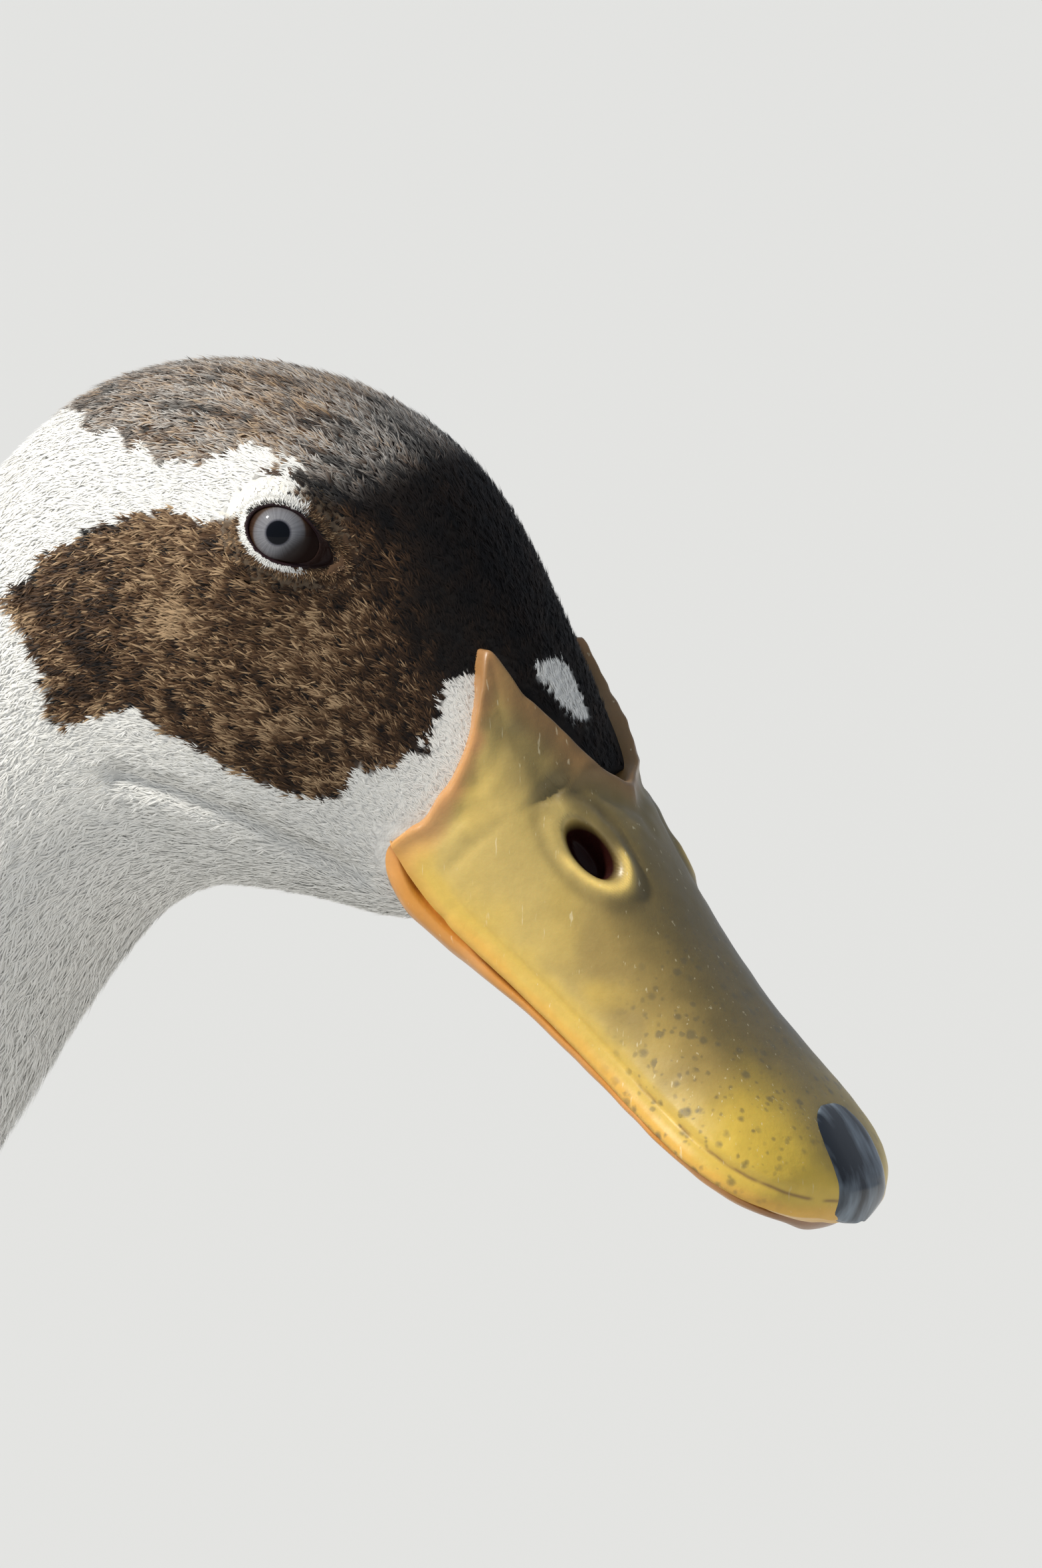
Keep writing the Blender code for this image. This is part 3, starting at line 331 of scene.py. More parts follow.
def tone(points, along):
    """How light the brown of each place is, from 0, nearly black, to 1, fawn."""
    across, up = side_view(points)
    shade = 0.45 + noise(points, 4.2, 7, 0.40) + noise(points, 0.95, 8, 0.80)
    rear = bell(across, -44.5, 4.5) * bell(up, 11.5, 5.5)
    pale = bell(across, -36.5, 5) * bell(up, 16.5, 5.5)
    lower = ease(7, -1, up) * ease(-42, -34, across)
    front = ease(-21, -11, across + 0.3 * (up - 10))
    front = front + ease(-29, -20, across) * ease(20, 26, up)
    shade = np.maximum(shade - 0.28 * rear + 0.22 * pale - 0.10 * lower, 0.13)
    shade = shade * (1 - 0.93 * np.minimum(front, 1))
    return clamped(np.where(along > NAPE, 0.5 + noise(points, 6, 9, 0.4), shade))


def cap_streaks(points, along, around):
    """Combed streaks that run along the cap, from 0 to 1, and how far each place is on the cap."""
    across, up = side_view(points)
    cap = ease(23, 28, up) * ease(-14.5, -19.5, across + 0.25 * (33 - up)) * (along < NAPE)
    combed = np.stack([0.10 * along, 18 * around, 0 * along], -1)
    return ease(0.2, 0.8, mottle(combed, 0.48, 10)), cap


def silver_and_glints(points, along, around):
    """How silvery the tips of each place's feathers are: in streaks over the cap, partly their own silver
    and partly painted glints of light, and faint painted glints above the face.
    """
    across, up = side_view(points)
    streak, cap = cap_streaks(points, along, around)
    front = ease(-26, -12, across) * ease(24, 30, up)
    rear = 1 + 0.9 * ease(-28, -46, across)
    return np.clip(cap * rear * (0.25 + 1.25 * streak) + 0.08 * front, 0, 1.5) * (along < NAPE)


def feather_colour(brown, light):
    """White, or a brown from nearly black to fawn."""
    light = clamped(light)[..., None]
    dark = DARK + (BROWN - DARK) * np.minimum(light * 2, 1)
    coloured = dark + (FAWN - BROWN) * np.maximum(light * 2 - 1, 0)
    return WHITE + (coloured - WHITE) * np.asarray(brown)[..., None]


def grid_mesh(columns, rows, shape, fill_ends=True):
    """A grid over the surface that shape(u, v) gives in mm, u and v from 0 to 1, closed where it meets."""
    grid = bmesh.new()
    bmesh.ops.create_grid(grid, x_segments=columns, y_segments=rows, size=0.5)
    flat = np.array([corner.co[:2] for corner in grid.verts]) + 0.5
    for corner, place in zip(grid.verts, metres(shape(flat[:, 0], flat[:, 1]))):
        corner.co = place
    bmesh.ops.remove_doubles(grid, verts=grid.verts, dist=1e-6)
    if fill_ends:
        ends = [edge for edge in grid.edges if edge.is_boundary]
        bmesh.ops.holes_fill(grid, edges=ends, sides=0)
    bmesh.ops.recalc_face_normals(grid, faces=grid.faces)
    return grid


def new_object(name, data):
    """A new object in the scene."""
    made = bpy.data.objects.new(name, data)
    bpy.context.scene.collection.objects.link(made)
    return made


def piece(shape, name):
    """A finished object from a bmesh, shaded smooth."""
    data = bpy.data.meshes.new(name)
    shape.to_mesh(data)
    shape.free()
    data.shade_smooth()
    return new_object(name, data)


def corners_mm(made):
    """An object's vertices in mm, without the shift that centres the model."""
    places = np.zeros(len(made.data.vertices) * 3)
    made.data.vertices.foreach_get("co", places)
    return places.reshape(-1, 3) * 1000 - [CENTRE_SHIFT, 0, 0]


def store_colour(made, name, colours):
    layer = made.data.color_attributes.new(name, "FLOAT_COLOR", "POINT")
    values = np.ones((len(colours), 4), np.float32)
    values[:, :3] = colours
    layer.data.foreach_set("color", values.ravel())


def store_value(made, name, values):
    layer = made.data.attributes.new(name, "FLOAT", "POINT")
    layer.data.foreach_set("value", np.asarray(values, np.float32))


# Share of the skin's rows that lie on the head, and the sockets' radius
HEAD_SHARE, SOCKET_RADIUS = 0.55, 5.6


def skin_place(u, v):
    """The trunk's hide from shares of its girth and its length, with most rows on the head."""
    along = np.interp(v, [0, HEAD_SHARE, 1], [FACE, NAPE, RUMP + TAIL_REACH])
    return skin_surface(along, (u - 0.5) * math.tau)


def socketed_skin(u, v):
    """The same hide with the eye sockets sunk into it."""
    points = skin_place(u, v)
    high, ahead, above = eye_offsets(points)
    away = np.hypot(ahead, above)
    within = (away < SOCKET_RADIUS - 0.25) & (high > -2)
    sunk = -np.sqrt(np.maximum(SOCKET_RADIUS**2 - away**2, 0))
    return points + GAZE * own_side(points) * np.where(within, sunk - high, 0)[:, None]


def fuse(made, others):
    """One closed mesh from a piece and others that cross it."""
    for other in others:
        union = made.modifiers.new("union", "BOOLEAN")
        union.operation, union.solver, union.object = "UNION", "MANIFOLD", other
        bpy.context.view_layer.update()
        evaluated = made.evaluated_get(bpy.context.evaluated_depsgraph_get())
        joined = bpy.data.meshes.new_from_object(evaluated)
        made.modifiers.clear()
        made.data = joined
        bpy.data.objects.remove(other)
    made.data.materials.clear()
    made.data.shade_smooth()


closed_skin = grid_mesh(180, 260, skin_place)
closed_skin_tree = BVHTree.FromBMesh(closed_skin)
closed_skin.free()
skin = piece(grid_mesh(220, 330, socketed_skin), "skin")

# Drumstick: share from knee to hock, radius fore and aft, radius sideways
KNEE = np.array([2, 30, 150])
HOCK = np.array([-31, 34, 62])
DRUMSTICK = [
    (-0.25, 10.5, 6), (-0.1, 20, 12), (0.1, 23.5, 16.5), (0.3, 22, 16.5), (0.52, 16.5, 13),
    (0.72, 11.4, 9.6), (0.9, 7, 6.4), (1, 5.6, 5.4),
]


def limb_surface(start, end, sizes, lift=0):
    """A leg length between two joints as surface(share, around), around 0 in front."""
    axis = unit(end - start)
    fore = unit(np.cross([0, 1, 0], axis))
    across = np.cross(axis, fore)
    size = profile(sizes)

    def surface(share, around):
        deep, wide = np.moveaxis(size(share), -1, 0)
        middle = start + (end - start) * np.asarray(share)[..., None]
        out = fore * ((deep + lift) * np.cos(around))[..., None]
        return middle + out + across * ((wide + lift) * np.sin(around))[..., None]

    return surface


for _, side in SIDES:
    drum = limb_surface(KNEE, HOCK, DRUMSTICK)

    def drum_place(u, v):
        share = DRUMSTICK[0][0] + (1.02 - DRUMSTICK[0][0]) * v
        return drum(share, u * math.tau) * [1, side, 1]

    fuse(skin, [piece(grid_mesh(48, 40, drum_place), "thigh")])
skin.data.name = "skin"

# Each corner of the skin takes the body's own coordinates from the nearest place of a finer net
NET_ROWS, NET_COLUMNS = 240, 97
trunk_net = KDTree(NET_ROWS * NET_COLUMNS)
net_along, net_around = (net.ravel() for net in np.meshgrid(
    np.linspace(FACE, RUMP + TAIL_REACH, NET_ROWS), np.linspace(-math.pi, math.pi, NET_COLUMNS), indexing="ij"
))
for index, place in enumerate(skin_surface(net_along, net_around)):
    trunk_net.insert(place, index)
trunk_net.balance()
skin_places = corners_mm(skin)
nearest = np.array([trunk_net.find(place)[1] for place in skin_places])
on_thigh = (np.abs(skin_places[:, 0] + 12) < 45) & (skin_places[:, 2] < 165)
on_thigh &= np.abs(skin_places[:, 1]) > 12
skin_brown = brownness(skin_places, net_along[nearest], net_around[nearest]) * ~on_thigh
# The skin takes the feathers' markings, painted darker as the shade that falls between the feathers.
skin_light = tone(skin_places, net_along[nearest]) * 0.7
store_colour(skin, "plumage", feather_colour(skin_brown, skin_light) * 0.75)


def feed(tree, fed, inputs):
    """Sets a node's inputs, by name or number, each to a value or to another node's output."""
    for name, value in dict(inputs).items():
        if isinstance(value, bpy.types.NodeSocket):
            tree.links.new(value, fed.inputs[name])
        else:
            fed.inputs[name].default_value = value


def wire(tree, kind, output, inputs=(), **settings):
    """One output of a new shader node with its settings and inputs."""
    made = tree.nodes.new("ShaderNode" + kind)
    for name, value in settings.items():
        setattr(made, name, value)
    feed(tree, made, inputs)
    return made.outputs[output]


def stored(tree, attribute, output="Color"):
    return wire(tree, "Attribute", output, attribute_name=attribute)


def cloud(tree, place, scale, detail, output="Fac", roughness=0.5):
    inputs = {"Vector": place, "Scale": scale, "Detail": detail, "Roughness": roughness}
    return wire(tree, "TexNoise", output, inputs)


def maths(tree, operation, *values, **settings):
    return wire(tree, "Math", 0, enumerate(values), operation=operation, **settings)


def mixed(tree, first, second, share, blend="MIX"):
    inputs = {"A": first, "B": second, "Factor": share}
    return wire(tree, "Mix", "Result", inputs, data_type="RGBA", blend_type=blend)


def ranged(tree, value, low, high, to_low=0, to_high=1):
    inputs = {"Value": value, "From Min": low, "From Max": high, "To Min": to_low, "To Max": to_high}
    return wire(tree, "MapRange", "Result", inputs, clamp=True)


def roughen(tree, shader, height, strength, distance):
    inputs = {"Height": height, "Strength": strength, "Distance": distance}
    feed(tree, shader, {"Normal": wire(tree, "Bump", "Normal", inputs)})


def unevenness_group():
    """Noise in the object's own space that lightens and darkens a colour and roughens its surface."""
    group = bpy.data.node_groups.new("unevenness", "ShaderNodeTree")
    for name, way, kind in (
        ("Color", "INPUT", "Color"), ("Scale", "INPUT", "Float"), ("Strength", "INPUT", "Float"),
        ("Color", "OUTPUT", "Color"), ("Height", "OUTPUT", "Float"),
    ):
        group.interface.new_socket(name, in_out=way, socket_type="NodeSocket" + kind)
    enter = group.nodes.new("NodeGroupInput").outputs
    grain = cloud(group, wire(group, "TexCoord", "Object"), enter["Scale"], 4, roughness=0.6)
    spread = maths(group, "MULTIPLY_ADD", maths(group, "SUBTRACT", grain, 0.5), enter["Strength"], 1)
    tint = wire(group, "VectorMath", 0, {0: enter["Color"], "Scale": spread}, operation="SCALE")
    feed(group, group.nodes.new("NodeGroupOutput"), {"Color": tint, "Height": grain})
    return group


UNEVENNESS = unevenness_group()


def uneven_colour(tree, colour, scale, strength):
    inputs = {"Color": colour, "Scale": scale, "Strength": strength}
    return wire(tree, "Group", "Color", inputs, node_tree=UNEVENNESS)


def new_material(name):
    """A material, its node tree and its Principled shader."""
    made = bpy.data.materials.new(name)
    made.use_nodes = True
    return made, made.node_tree, made.node_tree.nodes["Principled BSDF"]


def coloured_material(name, attribute, scale, strength, roughness, bump=0, specular=0.5):
    """A material in a piece's own colours, made uneven by noise: it, its tree, shader and colour."""
    made, tree, shader = new_material(name)
    colour = stored(tree, attribute)
    uneven = uneven_colour(tree, colour, scale, strength)
    feed(tree, shader, {"Base Color": uneven, "Roughness": roughness, "Specular IOR Level": specular})
    if bump:
        roughen(tree, shader, uneven.node.outputs["Height"], bump, 0.0003)
    return made, tree, shader, uneven


down = coloured_material("down", "plumage", 700, 0.5, 0.9, bump=0.6, specular=0.2)[0]
skin.data.materials.append(down)
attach(skin, "root")
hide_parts("head", "neck", "torso", "thigh_left", "thigh_right")


# Upper bill: waxy horn over bone, olive above and orange along its rolled edge, with a raised rim
# where the feathers end and an open nostril. It is grown on the face and modelled in one shell.
BILL_CORNER = FEATHER_POINT + [-18.3, 0, -5.5]
BILL_DOWN = math.radians(37)
BILL_FORWARD = np.array([math.cos(BILL_DOWN), 0, -math.sin(BILL_DOWN)])
BILL_UP = np.array([math.sin(BILL_DOWN), 0, math.cos(BILL_DOWN)])
BILL_END = 55
BILL_RIM = 0.9
# mm from the corner of the mouth, half width, height of the ridge and of the edge, and fullness
UPPER_BILL = [
    (-8, 12, 28, 0.6, 3.8), (0, 11.7, 21.6, -0.1, 3.5), (6, 11.3, 18.2, -2, 3.1),
    (11.3, 11, 15.4, -2.8, 2.8), (17, 10.8, 13.1, -3, 2.55), (24, 10.8, 10.4, -3.2, 2.4),
    (31, 11.1, 8, -3.6, 2.35), (38, 12.1, 6.3, -3.8, 2.3), (44, 12.9, 5, -3.5, 2.3),
    (49, 12, 3.8, -2.9, 2.3), (52.2, 9.4, 2.5, -2.3, 2.2), (53.4, 7.3, 1.75, -2, 2.15),
    (54.1, 5.7, 1.15, -1.8, 2.1), (54.8, 2.6, 0.1, -1.5, 2), (55, 0.01, -0.7, -0.9, 2),
]
# Where the feathers end, as x and z from the feather point
FACE_EDGE = [
    (0, -0.4), (-1.4, 1.8), (-2.9, 3.9), (-4.4, 5.5), (-5.9, 7.1), (-7.3, 9.4), (-8.9, 11.4), (-8.6, 8),
    (-8.7, 5.6), (-9.2, 3), (-10, 0.7), (-11.3, -1.8), (-13.3, -3.5), (-15.6, -4.5), (-18.8, -5.3),
    (-19.2, -8.6), (-17.2, -14.6),
]
# The point on the ridge: half its width, and how far it reaches from the corner of the mouth
POINT_HALF, POINT_REACH = 3, 13.2
FAR = 600
FEATHERED = [
    (-17.2, -14.6 - FAR), *reversed(FACE_EDGE), (FAR * BILL_UP[0], -0.4 + FAR * BILL_UP[2]),
    (-2 * FAR, -0.4 + FAR * BILL_UP[2]), (-2 * FAR, -14.6 - FAR),
]
NOSTRIL_ALONG, NOSTRIL_OUT, NOSTRIL_UP = 16.4, 7.4, 10.7
NOSTRIL_LONG, NOSTRIL_HIGH, NOSTRIL_TILT = 3.7, 2.6, math.radians(4)
# Share of a ring that is the arch, and least square of a half width
ARCH_SHARE = 0.84
LEAST_SQUARE = 1e-4
upper_sizes = profile([(along, half**2, *rest) for along, half, *rest in UPPER_BILL])


def bill_place(along, out, up):
    along, out, up = (np.asarray(value, float)[..., None] for value in np.broadcast_arrays(along, out, up))
    return BILL_CORNER + BILL_FORWARD * along + BILL_UP * up + out * np.array([0, 1, 0])


def bill_section(along):
    """(half width, height of the ridge, height of the edge, fullness) of the upper bill."""
    square, ridge, edge, full = np.moveaxis(upper_sizes(along), -1, 0)
    return np.sqrt(np.maximum(square, LEAST_SQUARE)), ridge, edge, full


def upper_ring(along, share):
    """Places round the upper bill: share runs over its arch from edge to edge, then back under it."""
    half, ridge, edge, full = bill_section(along)
    turn = (clamped(share / ARCH_SHARE) - 0.5) * math.pi
    out = half * rounded(np.sin(turn), 2 / full)
    up = edge + (ridge - edge) * np.abs(np.cos(turn)) ** (2 / full)
    under = clamped((share - ARCH_SHARE) / (1 - ARCH_SHARE))
    rim = BILL_RIM * np.sqrt(clamped((BILL_END - along) / 1.5))
    sag = clamped(np.minimum(under, 1 - under) * 8)
    beneath = share > ARCH_SHARE
    out = np.where(beneath, half * (1 - 2 * under), out)
    up = np.where(beneath, edge - rim * sag, up)
    return bill_place(along, out, up)


def bill_axes(points):
    """(along, out, up) in the bill's own frame."""
    offset = points - BILL_CORNER
    return offset @ BILL_FORWARD, offset[..., 1], offset @ BILL_UP


def feathered(points):
    """How far inside the feathers' edge each place lies; they run out to a point on the ridge."""
    inside = inside_by(FEATHERED, *side_view(points))
    along, out, up = bill_axes(points)
    beside = np.abs(out)
    wedge = np.minimum(np.maximum(inside, POINT_HALF - beside), POINT_REACH - along - 0.62 * beside)
    return np.where((along > 6) & (up > 10) & (beside < 8), wedge, inside)


def start_of(ring, shares, last):
    """Where each line along a bill leaves the feathers, going back from its tip."""
    steps = np.linspace(30, last, 330)
    net_steps, net_shares = np.meshgrid(steps, shares, indexing="ij")
    covered = feathered(ring(net_steps, net_shares)) > 0
    first = np.where(covered.any(axis=0), covered.argmax(axis=0), len(steps) - 1)
    return steps[first]


# The face's half width under its feathers, by x and z from the feather point
FACE_X, FACE_Z = np.linspace(-22, 3, 76), np.linspace(-10, 20, 91)
face_widths = np.zeros((len(FACE_X), len(FACE_Z)))
for column, x in enumerate(FACE_X):
    for row, z in enumerate(FACE_Z):
        beside = Vector(metres(FEATHER_POINT + [x, 40, z]))
        hit, _, _, _ = closed_skin_tree.ray_cast(beside, Vector((0, -1, 0)))
        face_widths[column, row] = hit.y * 1000 if hit else 0


def evened(line):
    """A row of numbers with its steps smoothed over nine neighbours."""
    return np.convolve(np.pad(line, 4, mode="edge"), np.hanning(11)[1:-1] / 5, mode="valid")


face_widths = np.apply_along_axis(evened, 1, np.apply_along_axis(evened, 0, face_widths))


def looked_up(table, row, column):
    """Values of a table between its rows and columns."""
    i = np.clip(row.astype(int), 0, table.shape[0] - 2)
    j = np.clip(column.astype(int), 0, table.shape[1] - 2)
    down, over = row - i, column - j
    first = table[i, j] * (1 - over) + table[i, j + 1] * over
    second = table[i + 1, j] * (1 - over) + table[i + 1, j + 1] * over
    return first * (1 - down) + second * down


def face_width(points):
    """The face's half width beside each place, and zero in front of the face."""
    across, up = side_view(points)
    across = np.interp(across, FACE_X, np.arange(len(FACE_X)))
    return looked_up(face_widths, across, np.interp(up, FACE_Z, np.arange(len(FACE_Z))))


NOTED_SHARES = np.linspace(0, 1, 401)
upper_starts = start_of(upper_ring, NOTED_SHARES, -2.5)
by_edge = ease(0.06, 0, np.minimum(NOTED_SHARES, ARCH_SHARE - NOTED_SHARES) / ARCH_SHARE)
evened_starts = np.where(NOTED_SHARES < ARCH_SHARE, evened(evened(upper_starts)), upper_starts)
upper_starts = np.where(NOTED_SHARES > ARCH_SHARE, 0.9, evened_starts + 1.4 * by_edge)


def outward_of(surface, u, v):
    """Outward normals of a bill's surface, by small steps."""
    step = 0.002
    v = np.clip(v, step, 0.997)
    ahead = surface(u, v + step) - surface(u, v)
    turn = surface((u + step) % 1, v) - surface((u - step) % 1, v)
    return unit(np.cross(ahead, turn))


# Both halves of the bill have their rows closer together towards the tip
CROWDING = 1.6


def upper_plain(u, v):
    """The upper bill without its fine relief, pressed to the sides of the face."""
    u = u % 1
    start = np.interp(u, NOTED_SHARES, upper_starts)
    points = upper_ring(start + (BILL_END - start) * (1 - (1 - v) ** CROWDING), u)
    away = np.maximum(-feathered(points), 0)
    width = face_width(points)
    hugging = ease(6.5, 0, away) * ease(1, 8.5, width) * (u < ARCH_SHARE)
    out = np.abs(points[..., 1])
    hugged = out - np.clip(out - width - 1.6, 0, 2.2) * hugging
    points[..., 1] = np.sign(points[..., 1]) * hugged
    return points


def nostril_offset(along, out, up):
    """(ahead, high) from the nostril's middle, seen straight on to the sloping side of the bill."""
    deep = np.abs(out) - NOSTRIL_OUT
    ahead, high = along - NOSTRIL_ALONG - 0.33 * deep, up - NOSTRIL_UP - 0.90 * deep
    cos, sin = math.cos(NOSTRIL_TILT), math.sin(NOSTRIL_TILT)
    return ahead * cos + high * sin, high * cos - ahead * sin


def nostril_distance(along, out, up):
    """Distance from the nostril's middle, 1 at its edge."""
    ahead, high = nostril_offset(along, out, up)
    return np.hypot(ahead / NOSTRIL_LONG, high / NOSTRIL_HIGH)


TUCKED_SHARE = 0.03


def upper_bill(u, v):
    """The upper bill with its rolled edge, raised rim, wrinkles and nostril, tucked under the skin."""
    u = u % 1
    tucked = clamped(1 - v / TUCKED_SHARE)
    v = clamped((v - TUCKED_SHARE) / (1 - TUCKED_SHARE))
    points = upper_plain(u, v)
    normals = outward_of(upper_plain, u, v)
    along, out, up = bill_axes(points)
    above = up - bill_section(along)[2]
    on_arch = u < ARCH_SHARE
    arch = on_arch & (np.abs(out) > 3)
    away = np.maximum(-feathered(points), 0)
    behind_tip = ease(54, 46, along)
    lift = 0.30 * bell(above, 0.5, 0.7) * arch * (0.3 + 0.7 * behind_tip)
    lift -= 0.30 * bell(above, 1.95, 0.45) * arch * behind_tip * ease(0, 3, along)
    lift += 0.12 * bell(above, 2.9, 0.6) * arch * behind_tip
    lift += (0.45 * bell(away, 0, 1) - 0.22 * bell(away, 2.4, 0.9)) * on_arch
    lift += noise(points, 1.5, 11, 0.40) * ease(9, 1, away)
    lift += noise(points, 3.6, 12, 0.14) + noise(points, 1.1, 13, 0.05)
    ahead, high = nostril_offset(along, out, up)
    oval = nostril_distance(along, out, up)
    on_side = ease(3.2, 5, np.abs(out)) * on_arch
    low_front = ease(-1.2, 1.8, ahead - 0.7 * high)
    lift += 0.38 * bell(oval, 1.28, 0.22) * on_side * (0.25 + 0.75 * low_front)
    lift -= 0.24 * bell(oval, 1.85, 0.26) * on_side * (0.35 + 0.65 * ease(-1, 1.5, high))
    lift -= 3.2 * ease(1.02, 0.50, oval) * on_side
    return points + normals * lift[..., None] - (normals * 2.6 + BILL_FORWARD * 1.5) * tucked[..., None]


BILL_BASE, BILL_CULMEN = np.array([0.46, 0.335, 0.100]), np.array([0.120, 0.088, 0.030])
BILL_YELLOW, BILL_BROWN = (0.62, 0.42, 0.07), (0.20, 0.10, 0.035)


def painted(colours, coats):
    """Colours with each coat laid over them in turn, by its share."""
    for colour, share in coats:
        colours = colours + (colour - colours) * clamped(share)[..., None]
    return colours


def bill_colours(places):
    """Olive above, yellow along the edge and at the tip, pinkish orange by the feathers, with painted
    shade under the forehead's feathers and painted highlight and shade round the nostril.
    """
    along, out, up = bill_axes(places)
    _, ridge, edge, _ = bill_section(along)
    blotch = noise(places, 5, 14, 1) + noise(places, 1.7, 15, 0.6)
    above = up - edge
    away = np.maximum(-feathered(places), 0)
    height = above / np.maximum(ridge - edge, 0.5)
    line = bell(above, 1.95 + 0.3 * blotch, 0.16) * ease(33, 36, along + 3 * blotch)
    low = ease(9, 2, above) * ease(12, 2, along)
    outer = np.maximum(low, ease(-6.5, -9, side_view(places)[0]))
    beside = np.abs(out) > 4
    apart = nostril_distance(along, out, up)
    ahead, high = nostril_offset(along, out, up)
    # Round the nostril: its pale rim, painted lighter on the lower front side as a highlight, and a dark line
    # in the groove outside it, deepened towards the top by painted shade.
    rim = bell(apart, 1.25, 0.20) * ease(-0.6, 1.8, ahead - 0.8 * high)
    groove_line_and_shade = bell(apart, 1.85, 0.26) * (0.35 + 0.35 * ease(-1, 1.5, high))
    return painted(BILL_BASE, (
        ((0.30, 0.208, 0.058), ease(13, 24, along + 5 * blotch)),
        (BILL_BASE * 1.15, 0.8 * ease(0.55, 0.15, height + 0.2 * blotch)),
        (BILL_YELLOW, 0.45 * ease(0.35, 0.9, mottle(places, 3.2, 16)) * ease(0.8, 0.3, height)),
        (BILL_CULMEN, ease(0.60, 0.95, height + 0.2 * blotch) * 0.85),
        ((0.60, 0.41, 0.05), ease(37, 47, along + 3 * blotch) * ease(1.1, 0.75, height)),
        (BILL_YELLOW, ease(4.2, 1.8, above + 1.4 * blotch) * 0.75),
        ((0.70, 0.36, 0.06), ease(1.5, 0.5, above + 0.8 * blotch) * 0.6),
        (BILL_BROWN, line * 0.8 * ease(0.30, 0.62, mottle(places, 1.6, 26))),
        ((0.50, 0.23, 0.085), ease(1.6 + 4.5 * low, 0.2, away + 1.2 * blotch) * (0.15 + 0.7 * outer)),
        # Painted shade on the top of the bill, under the edge of the forehead's feathers
        (BILL_BROWN, ease(5, 9, above - 8) * ease(2.6, 0, away) * 0.6),
        ((0.84, 0.60, 0.17), rim * beside * 0.95),
        ((0.62, 0.46, 0.15), bell(ahead, -4.4, 1.2) * bell(high, 0.6, 1.3) * beside * 0.6),
        (BILL_CULMEN * 0.8, groove_line_and_shade * beside),
    ))


upper = piece(grid_mesh(200, 210, upper_bill), "upper_bill")
upper_places = corners_mm(upper)
store_colour(upper, "horn", bill_colours(upper_places))
along, out, up = bill_axes(upper_places)
fore = ease(29, 37, along + 0.6 * (up - bill_section(along)[2]))
store_value(upper, "speckled", fore * ease(53.5, 46, along))
store_value(upper, "hollow", np.maximum(1.6 - nostril_distance(along, out, up), 0) * (np.abs(out) > 3))

# Specks: cells in a metre, how size varies, least size and depth
SPECKS = ((800, 0.62, -0.10, 0.62), (1350, 0.64, -0.16, 0.5))
SPECK_GREY, SCRATCH_PALE = (0.105, 0.085, 0.042, 1), (0.78, 0.70, 0.48, 1)
NOSTRIL_SHADE = (0.020, 0.004, 0.003, 1)
HORN_ROUGHNESS = 0.4


def horn_material():
    """Waxy horn: the piece's colours, grey specks, pale scratches, fine grain and the nostril painted
    dark as the shade inside it.
    """
    made, tree, shader, colour = coloured_material(
        "bill_horn_waxy", "horn", 900, 0.22, HORN_ROUGHNESS, specular=0.15
    )
    place = wire(tree, "TexCoord", "Object")
    stray = cloud(tree, place, 1600, 2, "Color")
    bent = wire(tree, "VectorMath", 0, {0: stray, 1: (0.0004,) * 3, 2: place}, operation="MULTIPLY_ADD")
    speckled = stored(tree, "speckled", "Fac")
    for cells, gain, least, depth in SPECKS:
        spots = wire(tree, "TexVoronoi", "Distance", {"Vector": bent, "Scale": cells, "Randomness": 1})
        size = wire(tree, "SeparateColor", "Red", {"Color": spots.node.outputs["Color"]})
        within = maths(tree, "SUBTRACT", maths(tree, "MULTIPLY_ADD", size, gain, least), spots)
        spotted = maths(tree, "MULTIPLY", maths(tree, "MULTIPLY", within, 4.5, use_clamp=True), speckled)
        colour = mixed(tree, colour, SPECK_GREY, maths(tree, "MULTIPLY", spotted, depth))
    turn = {"Vector": place, "Rotation": (0, BILL_DOWN + 0.9, 0.4), "Scale": (1, 1, 0.12)}
    scratch_place = wire(tree, "Mapping", "Vector", turn)
    scratches = cloud(tree, scratch_place, 2600, 2)
    scratched = maths(tree, "MULTIPLY", ranged(tree, scratches, 0.69, 0.74), 0.35)
    colour = mixed(tree, colour, SCRATCH_PALE, scratched)
    # The nostril's pit is painted near black, a dark maroon, as the shade inside a deep hole
    inside = ranged(tree, stored(tree, "hollow", "Fac"), 0.64, 0.84)
    grain = cloud(tree, place, 1800, 5, roughness=0.65)
    feed(tree, shader, {
        "Base Color": mixed(tree, colour, NOSTRIL_SHADE, inside),
        "Roughness": ranged(tree, grain, 0, 1, HORN_ROUGHNESS - 0.1, HORN_ROUGHNESS + 0.14),
        "Coat Weight": ranged(tree, inside, 0, 1, 0.75, 0),
        "Coat Roughness": HORN_ROUGHNESS,
        "Subsurface Weight": 0.12,
        "Subsurface Radius": (0.0016, 0.0007, 0.0003),
    })
    roughen(tree, shader, grain, 0.35, 0.00012)
    return made


bill_horn = horn_material()
upper.data.materials.append(bill_horn)
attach(upper, "root")
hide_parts("bill_upper")


# Lower bill: a thin strip of orange horn that closes under the upper one, with a flat bed on top. It is
# grown on the lower jaw and modelled in one shell, its hind end tucked into the cheek.
# mm from the corner of the mouth, half width and depth
LOWER_BILL = [
    (-4, 11.5, 8.2), (-2, 11.3, 6.9), (6, 10.5, 3.7), (14, 9.7, 2.3), (24, 9.2, 1.7), (34, 9.5, 1.5),
    (42, 10.3, 1.5), (47.5, 9.8, 1.6), (51.5, 6.8, 1.6), (53, 3, 1.3), (53.4, 0.01, 0.6),
]
# Overlap with the upper bill, share of a ring that is the bowl, and share of the length in the cheek
LOWER_OVERLAP, BOWL_SHARE, LOWER_TUCKED = 0.3, 0.7, 0.04
lower_sizes = profile([(along, half**2, depth) for along, half, depth in LOWER_BILL])


